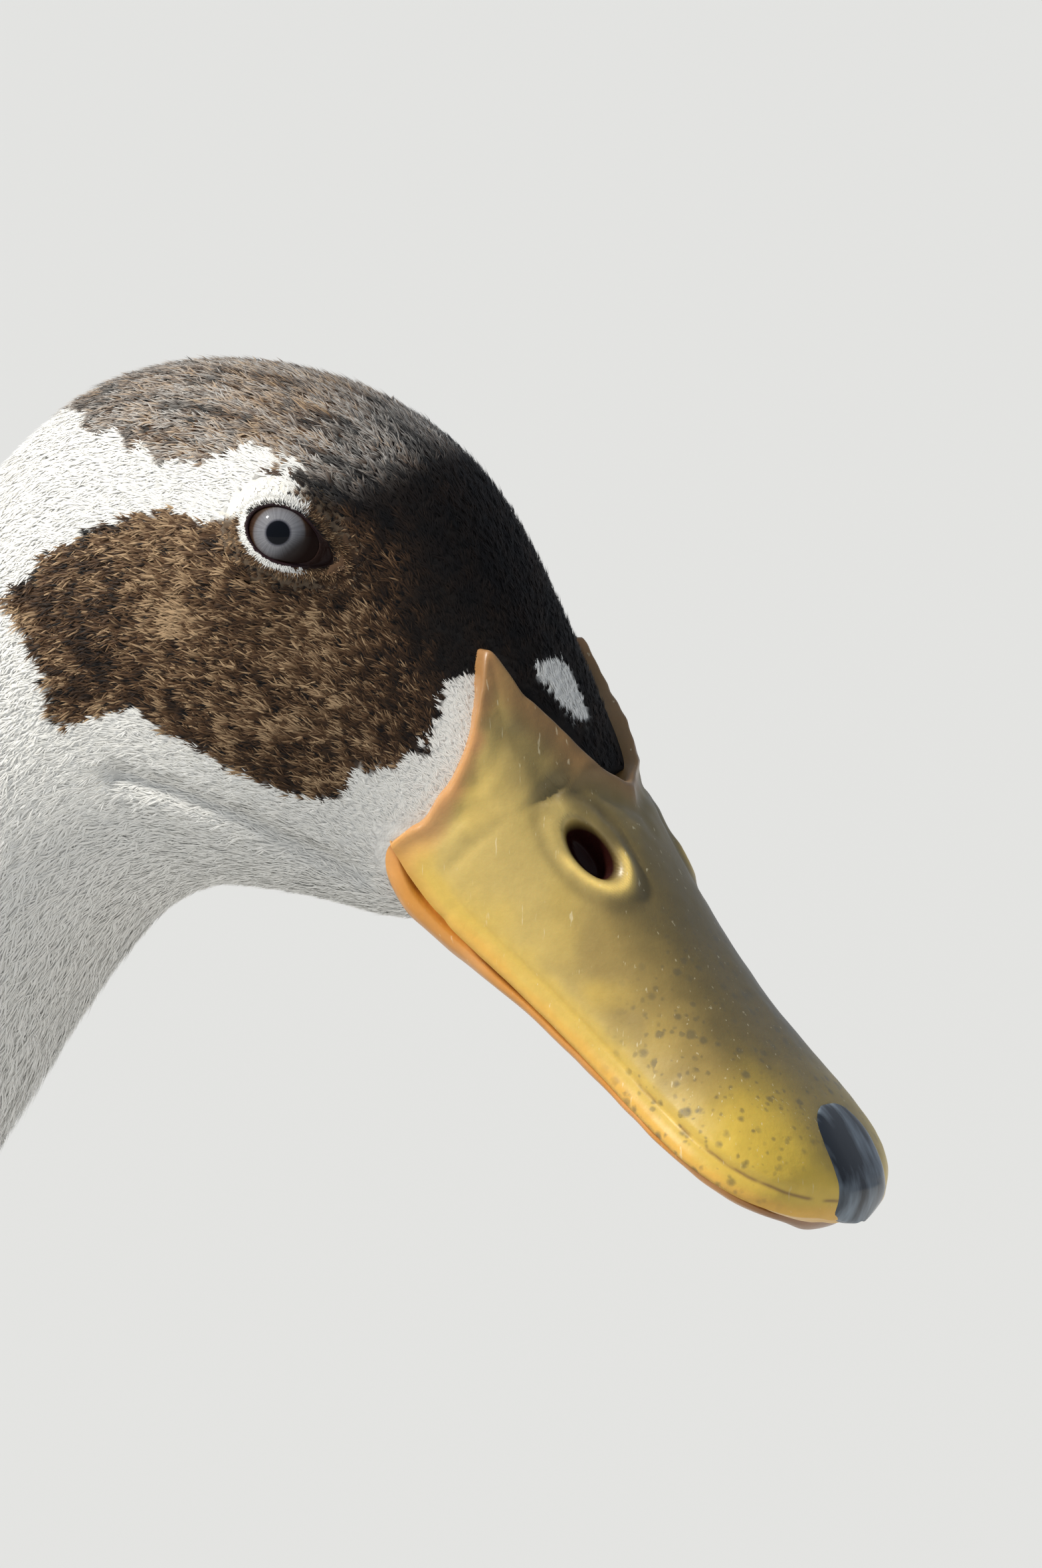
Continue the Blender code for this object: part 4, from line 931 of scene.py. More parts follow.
def lower_ring(along, share):
    """Places round the lower bill: share runs under its bowl from edge to edge, then back over its bed."""
    square, depth = np.moveaxis(lower_sizes(along), -1, 0)
    half = np.sqrt(np.maximum(square, LEAST_SQUARE))
    top = bill_section(along)[2] - BILL_RIM + LOWER_OVERLAP + 2.4 * ease(6, -3, along)
    turn = (clamped(share / BOWL_SHARE) - 0.5) * math.pi
    over = clamped((share - BOWL_SHARE) / (1 - BOWL_SHARE))
    out = half * rounded(np.sin(turn), 0.8)
    up = top - 0.5 - depth * np.maximum(np.cos(turn), 0) ** 0.8
    bed = top - 0.5 * (1 - clamped(np.minimum(over, 1 - over) * 10))
    above = share > BOWL_SHARE
    return bill_place(along, np.where(above, half * (1 - 2 * over), out), np.where(above, bed, up))


lower_starts = start_of(lower_ring, NOTED_SHARES, -3.9)


def lower_bill(u, v):
    u = u % 1
    start = np.interp(u, NOTED_SHARES, lower_starts)
    tucked = clamped(1 - v / LOWER_TUCKED)[..., None]
    v = clamped((v - LOWER_TUCKED) / (1 - LOWER_TUCKED))
    points = lower_ring(start + (LOWER_BILL[-1][0] - start) * (1 - (1 - v) ** CROWDING), u)
    points = points + noise(points, 2.4, 17, 0.12)[..., None]
    inward = points * [0, -0.35, 0] + BILL_UP * 1.5 - BILL_FORWARD * 3
    return points + inward * tucked


lower = piece(grid_mesh(110, 150, lower_bill), "lower_bill")
lower_places = corners_mm(lower)
along, _, up = bill_axes(lower_places)
# Dark near its upper edge by the corner of the mouth: partly the joint's own dark colour, partly painted
# shade between the bills.
joint_colour_and_shade = ease(-0.9, 0.2, up - bill_section(along)[2]) * ease(5, 1, along)
coats = ((0.26, 0.13, 0.055), ease(44, 52, along)), ((0.16, 0.055, 0.02), 0.8 * joint_colour_and_shade)
colours = painted(np.array([0.60, 0.27, 0.06]), coats)
store_colour(lower, "horn", np.clip(colours + noise(lower_places, 4, 18, 0.12)[:, None], 0.01, 1))
store_value(lower, "speckled", np.zeros(len(lower_places)))
store_value(lower, "hollow", np.zeros(len(lower_places)))
lower.data.materials.append(bill_horn)
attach(lower, "root")
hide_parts("bill_lower")


# Nail: the hard slate-blue plate at the tip of the bill, streaked lengthwise. It is horn too, a thin
# shell over the upper bill, sunk into it at its edges and hooked over the tip.
NAIL_LENGTH, NAIL_HALF, NAIL_RISE, NAIL_THICK = 8.8, 4.7, 0.42, 0.5


def nail_bed(u, v):
    """Places on the upper bill under the nail, drawn down over its tip."""
    along = BILL_END - NAIL_LENGTH + (NAIL_LENGTH - 0.03) * (1 - (1 - v) ** 1.7)
    half, ridge, edge, full = bill_section(along)
    back = clamped((along - BILL_END + NAIL_LENGTH) / 4.2)
    wide = np.minimum(NAIL_HALF * np.sqrt(np.maximum(1 - (1 - back) ** 2, 1e-4)), half * 0.985)
    out = wide * (u * 2 - 1)
    up = edge + (ridge - edge) * np.maximum(1 - (np.abs(out) / half) ** full, 0) ** (1 / full)
    hook = ease(0.72, 1, v)
    return bill_place(along + 0.25 * hook, out, up - 1.2 * hook)


def nail_plate(u, v):
    """The nail's outer side, domed and sloping into the horn at its shores."""
    near_u, near_v = np.clip(u, 0.06, 0.94), np.clip(v, 0.06, 0.90)
    step = 0.04
    ahead = nail_bed(near_u, near_v + step) - nail_bed(near_u, near_v - step)
    across = nail_bed(near_u + step, near_v) - nail_bed(near_u - step, near_v)
    shore = clamped(np.minimum(np.minimum(u, 1 - u) / 0.22, v / 0.14))
    lift = NAIL_RISE * np.sqrt(1 - (1 - shore) ** 2) - 0.12
    return nail_bed(u, v) + unit(np.cross(ahead, across)) * lift[..., None]


plate = grid_mesh(64, 80, nail_plate, fill_ends=False)
bmesh.ops.solidify(plate, geom=plate.faces, thickness=NAIL_THICK * 0.001)
bmesh.ops.recalc_face_normals(plate, faces=plate.faces)
nail = piece(plate, "nail")


def ramp(tree, share, stops):
    """A colour that changes with share through (place, colour) stops."""
    colour = wire(tree, "ValToRGB", "Color", {"Fac": share})
    elements = colour.node.color_ramp.elements
    elements[0].position, elements[1].position = stops[0][0], stops[-1][0]
    elements[0].color, elements[1].color = (*stops[0][1], 1), (*stops[-1][1], 1)
    for position, shade in stops[1:-1]:
        elements.new(position).color = (*shade, 1)
    return colour


def claw_horn_material():
    """Dark, glossy horn with pale streaks along the bill."""
    made, tree, shader = new_material("dark_horn")
    place = wire(tree, "TexCoord", "Object")
    turn = {"Vector": place, "Rotation": (0, BILL_DOWN, 0), "Scale": (0.07, 1, 0.35)}
    lengthwise = wire(tree, "Mapping", "Vector", turn)
    streaks = cloud(tree, lengthwise, 520, 3)
    colour = ramp(tree, streaks, [(0.44, (0.007, 0.011, 0.018)), (0.74, (0.20, 0.245, 0.29))])
    feed(tree, shader, {"Base Color": colour, "Roughness": 0.22})
    roughen(tree, shader, streaks, 0.06, 0.0002)
    return made


dark_horn = claw_horn_material()
nail.data.materials.append(dark_horn)
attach(nail, "root")
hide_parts("bill_nail")


# Eyes: wet balls with a grey-blue iris and a dark pupil, set deep in sockets of the head. Each lies under
# bare lids, a ring of soft skin with a dark rim that is part of the face and hugs the ball.
OPENING_LONG, OPENING_HIGH, OPENING_CORNER = 3.55, 2.5, 1.35
OPENING_AHEAD, OPENING_ABOVE, OPENING_TILT = 0.22, -0.15, math.radians(-27)
# Colours from the pupil's middle outwards, by share of the ball's radius
EYE_RINGS = [
    (0, (0.001, 0.002, 0.004)),
    (0.210, (0.001, 0.002, 0.005)),
    (0.232, (0.10, 0.10, 0.12)),
    (0.265, (0.22, 0.22, 0.235)),
    (0.38, (0.19, 0.19, 0.205)),
    (0.46, (0.15, 0.14, 0.145)),
    (0.50, (0.050, 0.026, 0.014)),
    (0.58, (0.020, 0.008, 0.005)),
    (1, (0.020, 0.008, 0.006)),
]


def eye_material():
    """Iris rings and fine spokes by distance from the middle of the gaze, darkened at the lower front by
    painted shade, under a wet coat.
    """
    made, tree, shader = new_material("eye_wet")
    distance = stored(tree, "from_pupil", "Fac")
    spokes = stored(tree, "spoke")
    streaked = mixed(tree, ramp(tree, distance, EYE_RINGS), spokes, 0.35, "MULTIPLY")
    shade = stored(tree, "eye_shade", "Fac")
    shaded = mixed(tree, streaked, (0.010, 0.004, 0.003, 1), shade)
    feed(tree, shader, {
        "Base Color": uneven_colour(tree, shaded, 2500, 0.35),
        "Roughness": 0.4,
        "Specular IOR Level": 0.03,
        "Coat Weight": ranged(tree, distance, 0.48, 0.60, 0.45, 0.06),
        "Coat Roughness": 0.03,
        "Coat IOR": 1.38,
    })
    return made


eye_wet = eye_material()
LID_WHITE, LID_BROWN = np.array([0.70, 0.67, 0.60]), np.array([0.10, 0.07, 0.045])


def opening(turn, scale):
    """(ahead, above) of the lids' edge, drawn out to a corner in front, times scale."""
    along = scale * (OPENING_LONG * np.cos(turn) + OPENING_CORNER * np.maximum(np.cos(turn), 0) ** 4)
    high = scale * OPENING_HIGH * np.sin(turn)
    cos, sin = math.cos(OPENING_TILT), math.sin(OPENING_TILT)
    return along * cos - high * sin + OPENING_AHEAD, along * sin + high * cos + OPENING_ABOVE


def opening_ring(points):
    """(share from the opening's middle, 1 at the lids' edge; forward; upward) of places by the eye."""
    _, ahead, above = eye_offsets(points)
    ahead, above = ahead - OPENING_AHEAD, above - OPENING_ABOVE
    cos, sin = math.cos(OPENING_TILT), math.sin(OPENING_TILT)
    forward, upward = ahead * cos + above * sin, above * cos - ahead * sin
    corner = OPENING_CORNER * clamped(forward / 3.5) ** 2
    return np.hypot(forward / (OPENING_LONG + corner), upward / OPENING_HIGH), forward, upward


def beside_eye(high, ahead, above):
    """Places on the left from their height along the gaze and their offsets ahead and above."""
    high, ahead, above = (np.asarray(value)[..., None] for value in (high, ahead, above))
    return EYE_CENTRE + GAZE * high + AHEAD * ahead + ABOVE * above


# Columns of the lids' rings, sizes of the rings for the ground's heights, from where the skin is looked
# for, share of the lids that lies inside their edge, and size of their innermost ring
LID_TURNS = 144
LID_SCALES = np.concatenate([[0], np.geomspace(0.80, 2.3, 60)])
LOOKED_FROM, LID_INSIDE, LID_INNER = 14, 0.2, 0.93


def lid_place(side):
    """The lids as a ring from inside their edge, over it and out onto the skin."""
    flip = np.array([1, side, 1])
    grounds = np.zeros((LID_TURNS + 1, len(LID_SCALES)))
    for i, j in np.ndindex(*grounds.shape):
        start = beside_eye(LOOKED_FROM, *opening(i / LID_TURNS * math.tau, LID_SCALES[j]))
        hit, _, _, distance = closed_skin_tree.ray_cast(Vector(metres(start * flip)), Vector(-GAZE * flip))
        grounds[i, j] = LOOKED_FROM - distance * 1000 if hit else 0

    def surface(u, v):
        turn = u * math.tau
        inner = LID_INNER - 0.22 * np.maximum(np.cos(turn), 0) ** 5
        outer = 1 + 1.15 * (np.maximum(v - LID_INSIDE, 0) / (1 - LID_INSIDE)) ** 1.2
        scale = np.where(v < LID_INSIDE, inner + (1 - inner) * v / LID_INSIDE, outer)
        ahead, above = opening(turn, scale)
        ground = looked_up(grounds, u * LID_TURNS, np.interp(scale, LID_SCALES, np.arange(len(LID_SCALES))))
        ball = np.sqrt(np.maximum((EYE_RADIUS + 0.03) ** 2 - ahead**2 - above**2, 0))
        roll = 0.42 * np.sqrt(clamped((scale - LID_INNER) / 0.10))
        crease = 0.12 * bell(scale, 1.20, 0.045) + 0.10 * bell(scale, 1.42, 0.05)
        fall = ease(1, 1.28, scale)
        hugging = np.maximum(ball, ground - 1) + roll
        high = hugging * (1 - fall) + np.maximum(ground, hugging - 0.9 * fall) * fall - crease
        high = np.where(scale < 0.995, np.maximum(ball + 0.02, ground - 1.15) + roll, high)
        return beside_eye(high - 0.5 * ease(1.9, 2.15, scale), ahead, above) * flip

    return surface


def brown_share(places, ring, forward, upward, upper, start, cheek_edge):
    """How brown the lids or their fringe are: in front of the eye, and below it towards the cheek."""
    slope = forward + upper * np.maximum(upward, 0) + 0.7 * np.minimum(upward, 0)
    cheek = ease(*cheek_edge, ring) * ease(2, 1, eye_offsets(places)[2])
    return np.maximum(ease(start, 2.6, slope), cheek)


lid_skin = coloured_material("lid_skin", "lid", 1800, 0.4, 0.42, bump=0.5, specular=0.15)[0]
for label, side in SIDES:
    ball = bmesh.new()
    bmesh.ops.create_uvsphere(ball, u_segments=128, v_segments=96, radius=EYE_RADIUS)
    turned = Vector((0, 0, 1)).rotation_difference(Vector(GAZE * [1, side, 1])).to_matrix()
    places = np.array([corner.co for corner in ball.verts])
    away, spokes = np.hypot(places[:, 0], places[:, 1]), np.arctan2(places[:, 1], places[:, 0])
    front = places[:, 2] > 0
    places[:, 2] += 0.32 * np.exp(-((away / 2.3) ** 4)) * front
    places = places @ np.array(turned).T + EYE_CENTRE * [1, side, 1]
    for corner, place in zip(ball.verts, metres(places)):
        corner.co = place
    _, ahead, above = eye_offsets(places)
    eye = piece(ball, "eyeball_" + label)
    store_value(eye, "from_pupil", np.where(front, away / EYE_RADIUS, 1))
    # Painted shade over the lower front of the eye, partly the dark corner of the third eyelid
    store_value(eye, "eye_shade", 0.95 * ease(0.9, 2.2, 0.62 * ahead - 0.78 * above))
    rays = 0.5 + 0.25 * np.sin(spokes * 37 + 3 * np.sin(spokes * 5)) + 0.25 * np.sin(spokes * 61 + 2)
    store_colour(eye, "spoke", np.repeat(rays[:, None], 3, axis=1))
    eye.data.materials.append(eye_wet)
    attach(eye, "root")
    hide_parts("eye_" + label)

    lids = piece(grid_mesh(LID_TURNS, 44, lid_place(side), fill_ends=False), "lids_" + label)
    places = corners_mm(lids)
    scale, forward, upward = opening_ring(places)
    upper_back = ease(0.3, 0.9, 0.2 * upward - forward / 4) * (mottle(places, 0.7, 24) > 0.35)
    near = scale + noise(places, 0.45, 25, 0.14)
    brown = brown_share(places, near, forward, upward, 0.3, -1, (1.10, 1.22))[:, None]
    pink = bell(forward, 3.3 - 0.25 * upward**2, 0.14) * (np.abs(upward) < 0.9) * (scale < 1)
    store_colour(lids, "lid", painted(np.array([0.018, 0.007, 0.009]), (
        ((0.022, 0.010, 0.008), ease(2.4, 3.6, forward)),
        ((0.22, 0.10, 0.075), 0.8 * pink),
        (LID_WHITE + (LID_BROWN - LID_WHITE) * brown, ease(1.10, 1.16, scale)),
        ((0.52, 0.22, 0.03), bell(scale, 1.085, 0.025) * upper_back),
    )))
    lids.data.materials.append(lid_skin)
    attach(lids, "root")


# Small feathers of the head and neck: tufts of fine, flat barbs that lie back over the skin, shortest
# round the bill and eyes, in rows on the crown and longer and softer down the neck.
# Size of a feather's patch on the unwrap, and how steeply barbs rise
PATCH, BARB_RISE = 0.003, 0.2


def skin_patch(along, around):
    """Each root's place on an unwrap of the skin, back to belly across and face to tail up."""
    return np.stack([around / math.tau + 0.5, (along - FACE) / (RUMP + TAIL_REACH - FACE)], -1)


def joined_mesh(name, places, triangles, patches, colours, leans):
    """One mesh from arrays, with its patches, colours and the way each corner's shading leans."""
    data = bpy.data.meshes.new(name)
    data.vertices.add(len(places))
    data.loops.add(triangles.size)
    data.polygons.add(len(triangles))
    data.vertices.foreach_set("co", metres(places).astype(np.float32).ravel())
    data.loops.foreach_set("vertex_index", triangles.astype(np.int32).ravel())
    data.polygons.foreach_set("loop_start", np.arange(0, triangles.size, 3, dtype=np.int32))
    data.update(calc_edges=True)
    made = new_object(name, data)
    layer = data.uv_layers.new(name="OFBake")
    layer.uv.foreach_set("vector", patches[triangles.ravel()].astype(np.float32).ravel())
    store_colour(made, "plumage", colours)
    data.shade_smooth()
    if leans is not None:
        data.normals_split_custom_set_from_vertices(unit(leans).astype(np.float32))
    return made


def spread_roots(first, last, spacing, seed, surface=skin_surface, low=-math.pi, high=math.pi):
    """Roots in staggered rows from first to last along the body, jittered, spacing(along) mm apart."""
    draw = np.random.default_rng(seed)
    fine = np.linspace(low, high, 181)
    along_rows, around_rows = [], []
    along, row, step = first, 0, 0.5
    while along < last:
        gap = spacing(along)
        ring = surface(np.full(len(fine), along), fine)
        ahead = surface(np.full(len(fine), along + step), fine)
        stretch = size_of(ahead - ring) / step
        run = np.concatenate([[0], np.cumsum(size_of(np.diff(ring, axis=0)))])
        weight = np.concatenate([[0], np.cumsum(np.diff(run) * (stretch[1:] + stretch[:-1]) / 2)])
        count = max(4, int(weight[-1] / gap))
        places = np.arange(count) + 0.5 * (row % 2) + draw.uniform(-0.42, 0.42, count)
        around_rows.append(np.interp(places * weight[-1] / count % weight[-1], weight, fine))
        along_rows.append(along + draw.uniform(-0.45, 0.45, count) * gap)
        along += gap
        row += 1
    return np.concatenate(along_rows), np.concatenate(around_rows)


def levelled(vectors, normals):
    """Directions laid flat on the surface that has these normals."""
    return unit(vectors - normals * (vectors * normals).sum(1)[:, None])


def tufts(name, along, around, length, width, fan, seed, rise=BARB_RISE):
    """Tufts rooted on the skin: each a fan of barbs of length and width mm, rising to their tips."""
    draw = np.random.default_rng(seed)
    roots, normals, tailward, _ = lie(skin_surface, along, around)
    ring, _, _ = opening_ring(roots)
    high, ahead, above = eye_offsets(roots)
    near_eye = (high > -1) & (ring < 3)
    from_eye = (AHEAD * ahead[:, None] + ABOVE * above[:, None]) * own_side(roots)
    pull = np.where(near_eye, ease(1.9, 1.15, ring), 0)[:, None]
    flow = levelled(tailward, normals) * (1 - 0.8 * pull) + levelled(from_eye, normals) * pull * 1.3
    flow = unit(flow)
    size = np.where(near_eye, 0.34 + 0.66 * ease(1.2, 2.3, ring), 1)
    patch = brownness(roots, along, around)
    streak, cap = cap_streaks(roots, along, around)
    light = tone(roots, along) + 0.5 * (streak - 0.45) * cap
    kept = (~near_eye | (ring > 1.30)) & (feathered(roots) > -0.05)
    roots, normals, flow, uv, length, width, patch, light, silver = (values[kept] for values in (
        roots, normals, flow, skin_patch(along, around), length * size, width * np.sqrt(size), patch, light,
        silver_and_glints(roots, along, around),
    ))
    brown = (patch > draw.uniform(0.2, 0.8, len(roots))).astype(float)
    rising = rise * (0.7 + 0.3 * brown)
    made = fans(name, roots, normals, flow, uv, length, width, fan, 5, draw, rising, brown, light, silver)
    return made


# A barb's profile: share of its length, of its width and of its rise at the root, the bend and the tip
BARB_STEPS = [(0, 0.75, -0.10), (0.45, 1, 0.62), (1, 0, 1)]


def fans(name, roots, normals, flow, uv, length, width, fan, barbs, draw, rise, brown, light, silver):
    """One mesh of fans of flat barbs that rise from their roots along a flow."""
    count = len(roots)
    across = np.cross(normals, flow)
    turn = draw.normal(0, 0.22, count)
    long = length * draw.uniform(0.75, 1.2, count)
    lift = rise * draw.uniform(0.6, 1.5, count)
    lively = ease(0, 0.3, light)
    shades = light + draw.normal(0, 0.10, count) * lively
    share = np.linspace(-1, 1, barbs)
    angle = turn[:, None] + share * fan + draw.normal(0, 0.10, (count, barbs))
    barb_long = long[:, None] * (1 - 0.28 * np.abs(share)) * draw.uniform(0.8, 1.12, (count, barbs))
    barb_wide = width[:, None] * draw.uniform(0.7, 1.25, (count, barbs))
    barb_lift = lift[:, None] * draw.uniform(0.6, 1.4, (count, barbs))
    way = flow[:, None] * np.cos(angle)[..., None] + across[:, None] * np.sin(angle)[..., None]
    side = np.cross(np.broadcast_to(normals[:, None], way.shape), way)
    start = roots[:, None] + across[:, None] * (share * fan * 0.30 * long[:, None])[..., None]
    curl = draw.normal(0, 0.10, (count, barbs)) * barb_long
    corners, leaning, tints, local = [], [], [], []
    # A few barbs are painted lighter, towards fawn, as highlights of glossy strands
    gleam = (draw.uniform(0, 1, (count, barbs)) < 0.16) * draw.uniform(0.2, 0.5, (count, barbs))
    barb_light = shades[:, None] + (draw.normal(-0.03, 0.15, (count, barbs)) + gleam) * lively[:, None]
    # Tips turn towards silver: partly the feathers' own silver, partly painted glints of light
    silvered = silver[:, None] * draw.uniform(0.3, 1, (count, barbs)) * brown[:, None]
    for reach, wide, tall in BARB_STEPS:
        middle = start + way * (barb_long * reach)[..., None] + side * (curl * reach**2)[..., None]
        middle = middle + normals[:, None] * (barb_lift * barb_long * tall)[..., None]
        lightened = barb_light + (0.34 * reach**1.5 - 0.14) * lively[:, None]
        tint = feather_colour(np.broadcast_to(brown[:, None], lightened.shape), lightened)
        tint = tint + (SILVER - tint) * (silvered * reach)[..., None]
        # Each barb is darker towards its root, most on brown ones, as painted shade deep in the coat
        rooted = 0.93 - 0.23 * brown[:, None, None]
        tint = tint * (rooted + (1 - rooted) * reach) * draw.uniform(0.95, 1, (count, barbs, 1))
        for turned in (1, -1) if wide else (0,):
            corners.append(middle + side * (barb_wide * wide * 0.5 * turned)[..., None])
            leaning.append(normals[:, None] + side * (0.55 * turned) - way * 0.12)
            tints.append(tint)
            beside = share * 0.4 + 0.5 + 0.06 * turned
            local.append(np.stack(np.broadcast_arrays(beside, reach + 0 * angle), -1))
    corners, leaning, tints = (np.stack(rows, 2).reshape(-1, 3) for rows in (corners, leaning, tints))
    local = np.stack(local, 2)
    patches = (uv[:, None, None] + (local - 0.5) * PATCH).reshape(-1, 2)
    pattern = np.array([(0, 1, 2), (2, 1, 3), (2, 3, 4)])
    triangles = (np.arange(count * barbs)[:, None, None] * 5 + pattern).reshape(-1, 3)
    made = joined_mesh(name, corners, triangles, patches, tints, leaning)
    made.data.materials.append(plume)
    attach(made, "root")
    return made


# Soft barbs: colour from each feather, a little uneven, dull with a faint sheen
plume = coloured_material("plume", "plumage", 1500, 0.25, 0.55, specular=0.12)[0]


def head_spacing(along):
    return 0.53 + 0.06 * ease(FACE, -215, along) + 0.36 * ease(-215, NAPE, along)


head_along, head_around = spread_roots(FACE + 0.3, NAPE, head_spacing, 21)
head_x, head_z = side_view(skin_surface(head_along, head_around))
face_near = np.maximum(inside_by(FEATHERED, head_x, head_z), 0)
head_length = 1.05 + 0.40 * ease(0, 14, face_near) + 1.2 * ease(-45, -75, head_x)
head_length += 0.4 * ease(-190, NAPE, head_along) + 0.4 * ease(28, 34, head_z)
head_length += 0.5 * ease(2, -8, head_z) * ease(-14, -30, head_x)
head_width = 0.13 + 0.04 * ease(0, 20, face_near)
neck_along, neck_around = spread_roots(NAPE - 1, 22, lambda along: 0.95 + 0.0085 * (along - NAPE), 22)
neck_share = ease(NAPE, 0, neck_along)
head_tufts = head_along, head_around, head_length, head_width
neck_tufts = neck_along, neck_around, 3.3 + 6.2 * neck_share, 0.22 + 0.30 * neck_share
# Each region: its tufts, where it begins and ends round from the back, spread of a fan, seed and rise
for region, chosen, begin, end, fan, seed, rise in (
    ("crown", head_tufts, 0, 0.95, 0.30, 35, BARB_RISE),
    ("cheeks", head_tufts, 0.95, 1.9, 0.30, 36, BARB_RISE),
    ("throat", head_tufts, 1.9, 4, 0.30, 36, BARB_RISE),
    ("nape", neck_tufts, 0, math.pi / 2, 0.32, 45, 0.16),
    ("foreneck", neck_tufts, math.pi / 2, 4, 0.32, 49, 0.16),
):
    within = (np.abs(chosen[1]) >= begin) & (np.abs(chosen[1]) < end)
    tufts("tufts_" + region, *(values[within] for values in chosen), fan, seed, rise)


# Ring of tiny fibres that stand out from the lids' edge, white behind and below the eye and brown in
# front of it, with short, dark bristles over the upper lid. Each is a feather reduced to a few barbs.
# Kind, rows as shares of the lids, how many in a row, length, width, barbs and rise
EYE_FIBRES = (
    ("fringe", (0.25, 0.29, 0.34, 0.40, 0.46), 170, 0.72, 0.09, 3, 0.25),
    ("bristles", (0.235,), 70, 0.62, 0.07, 2, 0.6),
)
for label, side in SIDES:
    lid_surface = lid_place(side)
    draw = np.random.default_rng(45)
    for kind, rows, count, long, wide, barbs, rise in EYE_FIBRES:
        stagger = [0.5 * (row % 2) + draw.uniform(-0.3, 0.3, count) for row in range(len(rows))]
        turns = (np.arange(count) + stagger).ravel() / count % 1
        places = np.repeat(rows, count) + draw.normal(0, 0.012, count * len(rows))
        dark = kind == "bristles"
        if dark:
            turns = 0.02 + 0.46 * turns
        here = lid_surface(turns, places)
        outward = unit(lid_surface(turns, places + 0.03) - here)
        sideways = unit(lid_surface((turns + 0.004) % 1, places) - lid_surface((turns - 0.004) % 1, places))
        above = unit(np.cross(outward, sideways))
        above *= np.sign((above * (GAZE * [1, side, 1])).sum(1))[:, None]
        flow = levelled(unit(outward + above * 0.10 + [-0.25, 0, 0]), above)
        share = brown_share(here, *opening_ring(here), 0.25, 0.2, (1.04, 1.20))
        brown = (share > draw.uniform(0.1, 0.9, len(here))) | dark
        full = np.ones(len(here))
        fringe = fans(
            f"eye_{kind}_{label}", here, above, flow,
            skin_patch(full * (FACE + 32), side * 0.9 * full) + outward[:, [0, 2]] * 0.004,
            full * long, full * wide, 0.35, barbs, draw, rise, brown * full, full * (0 if dark else 0.42),
            0 * full,
        )


# Body feathers: curved vanes with a shaft and a loose fringe, rooted in the skin and overlapping like
# tiles from the shoulders to the tail. The brown ones are pencilled with darker lines inside a fawn edge.
VANE_WIDTHS = ([0, 0.2, 0.45, 0.75, 0.92, 1], [0.30, 0.74, 1, 0.93, 0.62, 0.16])
FRINGE = 12
# Folded wing: how far its edge stands over the body, and its middle over its edge
WING_EDGE, WING_THICK = 1.6, 5.2
# Its outline: mm along the body from the shoulder, and its top and low edge in degrees round
WING_OUTLINE = [
    (14, 50, 74), (24, 40, 90), (45, 32, 104), (85, 25, 112), (130, 20, 110), (175, 16, 96),
    (215, 13, 76), (245, 12, 52),
]
WING_START, WING_END = WING_OUTLINE[0][0], WING_OUTLINE[-1][0]
wing_edges = profile([(along, *np.radians(edges)) for along, *edges in WING_OUTLINE])


def wing_height(along, around):
    """How far the folded wing's back stands over the body, and how far inside its outline."""
    top, low = np.moveaxis(wing_edges(along), -1, 0)
    across = (np.abs(around) - top) / (low - top)
    down = clamped((along - WING_START) / (WING_END - WING_START))
    arch = np.sqrt(clamped(4 * across * (1 - across)))
    lengthwise = clamped(down / 0.16) ** 0.8 * (1 - 0.75 * down)
    within = np.minimum(along - WING_START, WING_END + 20 - along) / 12
    within = np.minimum(np.minimum(across, 1 - across) * 4, within)
    edge = WING_EDGE * ease(-0.1, 0.5, within)
    return edge + WING_THICK * arch * lengthwise, within


def wing_back(along, around):
    """The back of the folded wing in mm, on the left where around is above zero."""
    points, normals, _, _ = lie(hull, along, around)
    return points + normals * wing_height(along, around)[0][..., None]


thigh_radius = profile([(share, (deep + wide) / 2) for share, deep, wide in DRUMSTICK])


def thigh_depth(points):
    """How deep each place lies inside the drumstick of its side, and below zero outside it."""
    mirrored = np.where([False, True, False], np.abs(points), points)
    thigh = HOCK - KNEE
    share = np.clip(((mirrored - KNEE) @ thigh) / (thigh @ thigh), DRUMSTICK[0][0], 0.6)
    away = size_of(mirrored - KNEE - thigh * share[..., None])
    return thigh_radius(share)[..., 0] - away


def dressed(along, around):
    """The trunk under its feathers' tips, carried up over the wings and the tops of the thighs."""
    points, normals, _, _ = lie(hull, along, around)
    high, within = wing_height(along, around)
    lift = np.where(within > 0, high * ease(0, 0.5, within), 0)
    bulge = np.log1p(np.exp(np.clip(0.7 * (thigh_depth(points) + 1), -30, 30))) / 0.7
    lift = lift + np.minimum(bulge, 9) * ease(230, 200, along)
    return points + normals * (lift - 1.6)[..., None]


def vane_template(columns, rows):
    """One feather's net and fringe: (across, along) from -1 to 1 and 0 to 1, offsets and triangles."""
    shares = np.linspace(0, 1, rows + 1) ** 0.85
    across = np.linspace(-1, 1, columns + 1)
    net = np.array([(x, t) for t in shares for x in across])
    triangles = []
    for row in range(rows):
        for column in range(columns):
            corner = row * (columns + 1) + column
            above = corner + columns + 1
            triangles += [(corner, corner + 1, above + 1), (corner, above + 1, above)]
    fringe, offsets = [], [(0, 0)] * len(net)
    for i in range(FRINGE):
        turn = (i + 0.5) / FRINGE * 2 - 1
        t = 1 - 0.30 * abs(turn) ** 2.2
        x = turn / max(abs(turn), 0.35) * min(1, 0.55 + abs(turn))
        start = len(net) + len(fringe)
        fringe += [(x * 0.97, t)] * 3
        offsets += [(-0.07, -0.07), (0.07, -0.07), (x * 0.15, 0.075)]
        triangles.append((start, start + 1, start + 2))
    return np.concatenate([net, fringe]), np.array(offsets), np.array(triangles)


# Columns and rows of a small feather and of a flight feather
SMALL_NET, LARGE_NET = (4, 5), (8, 14)


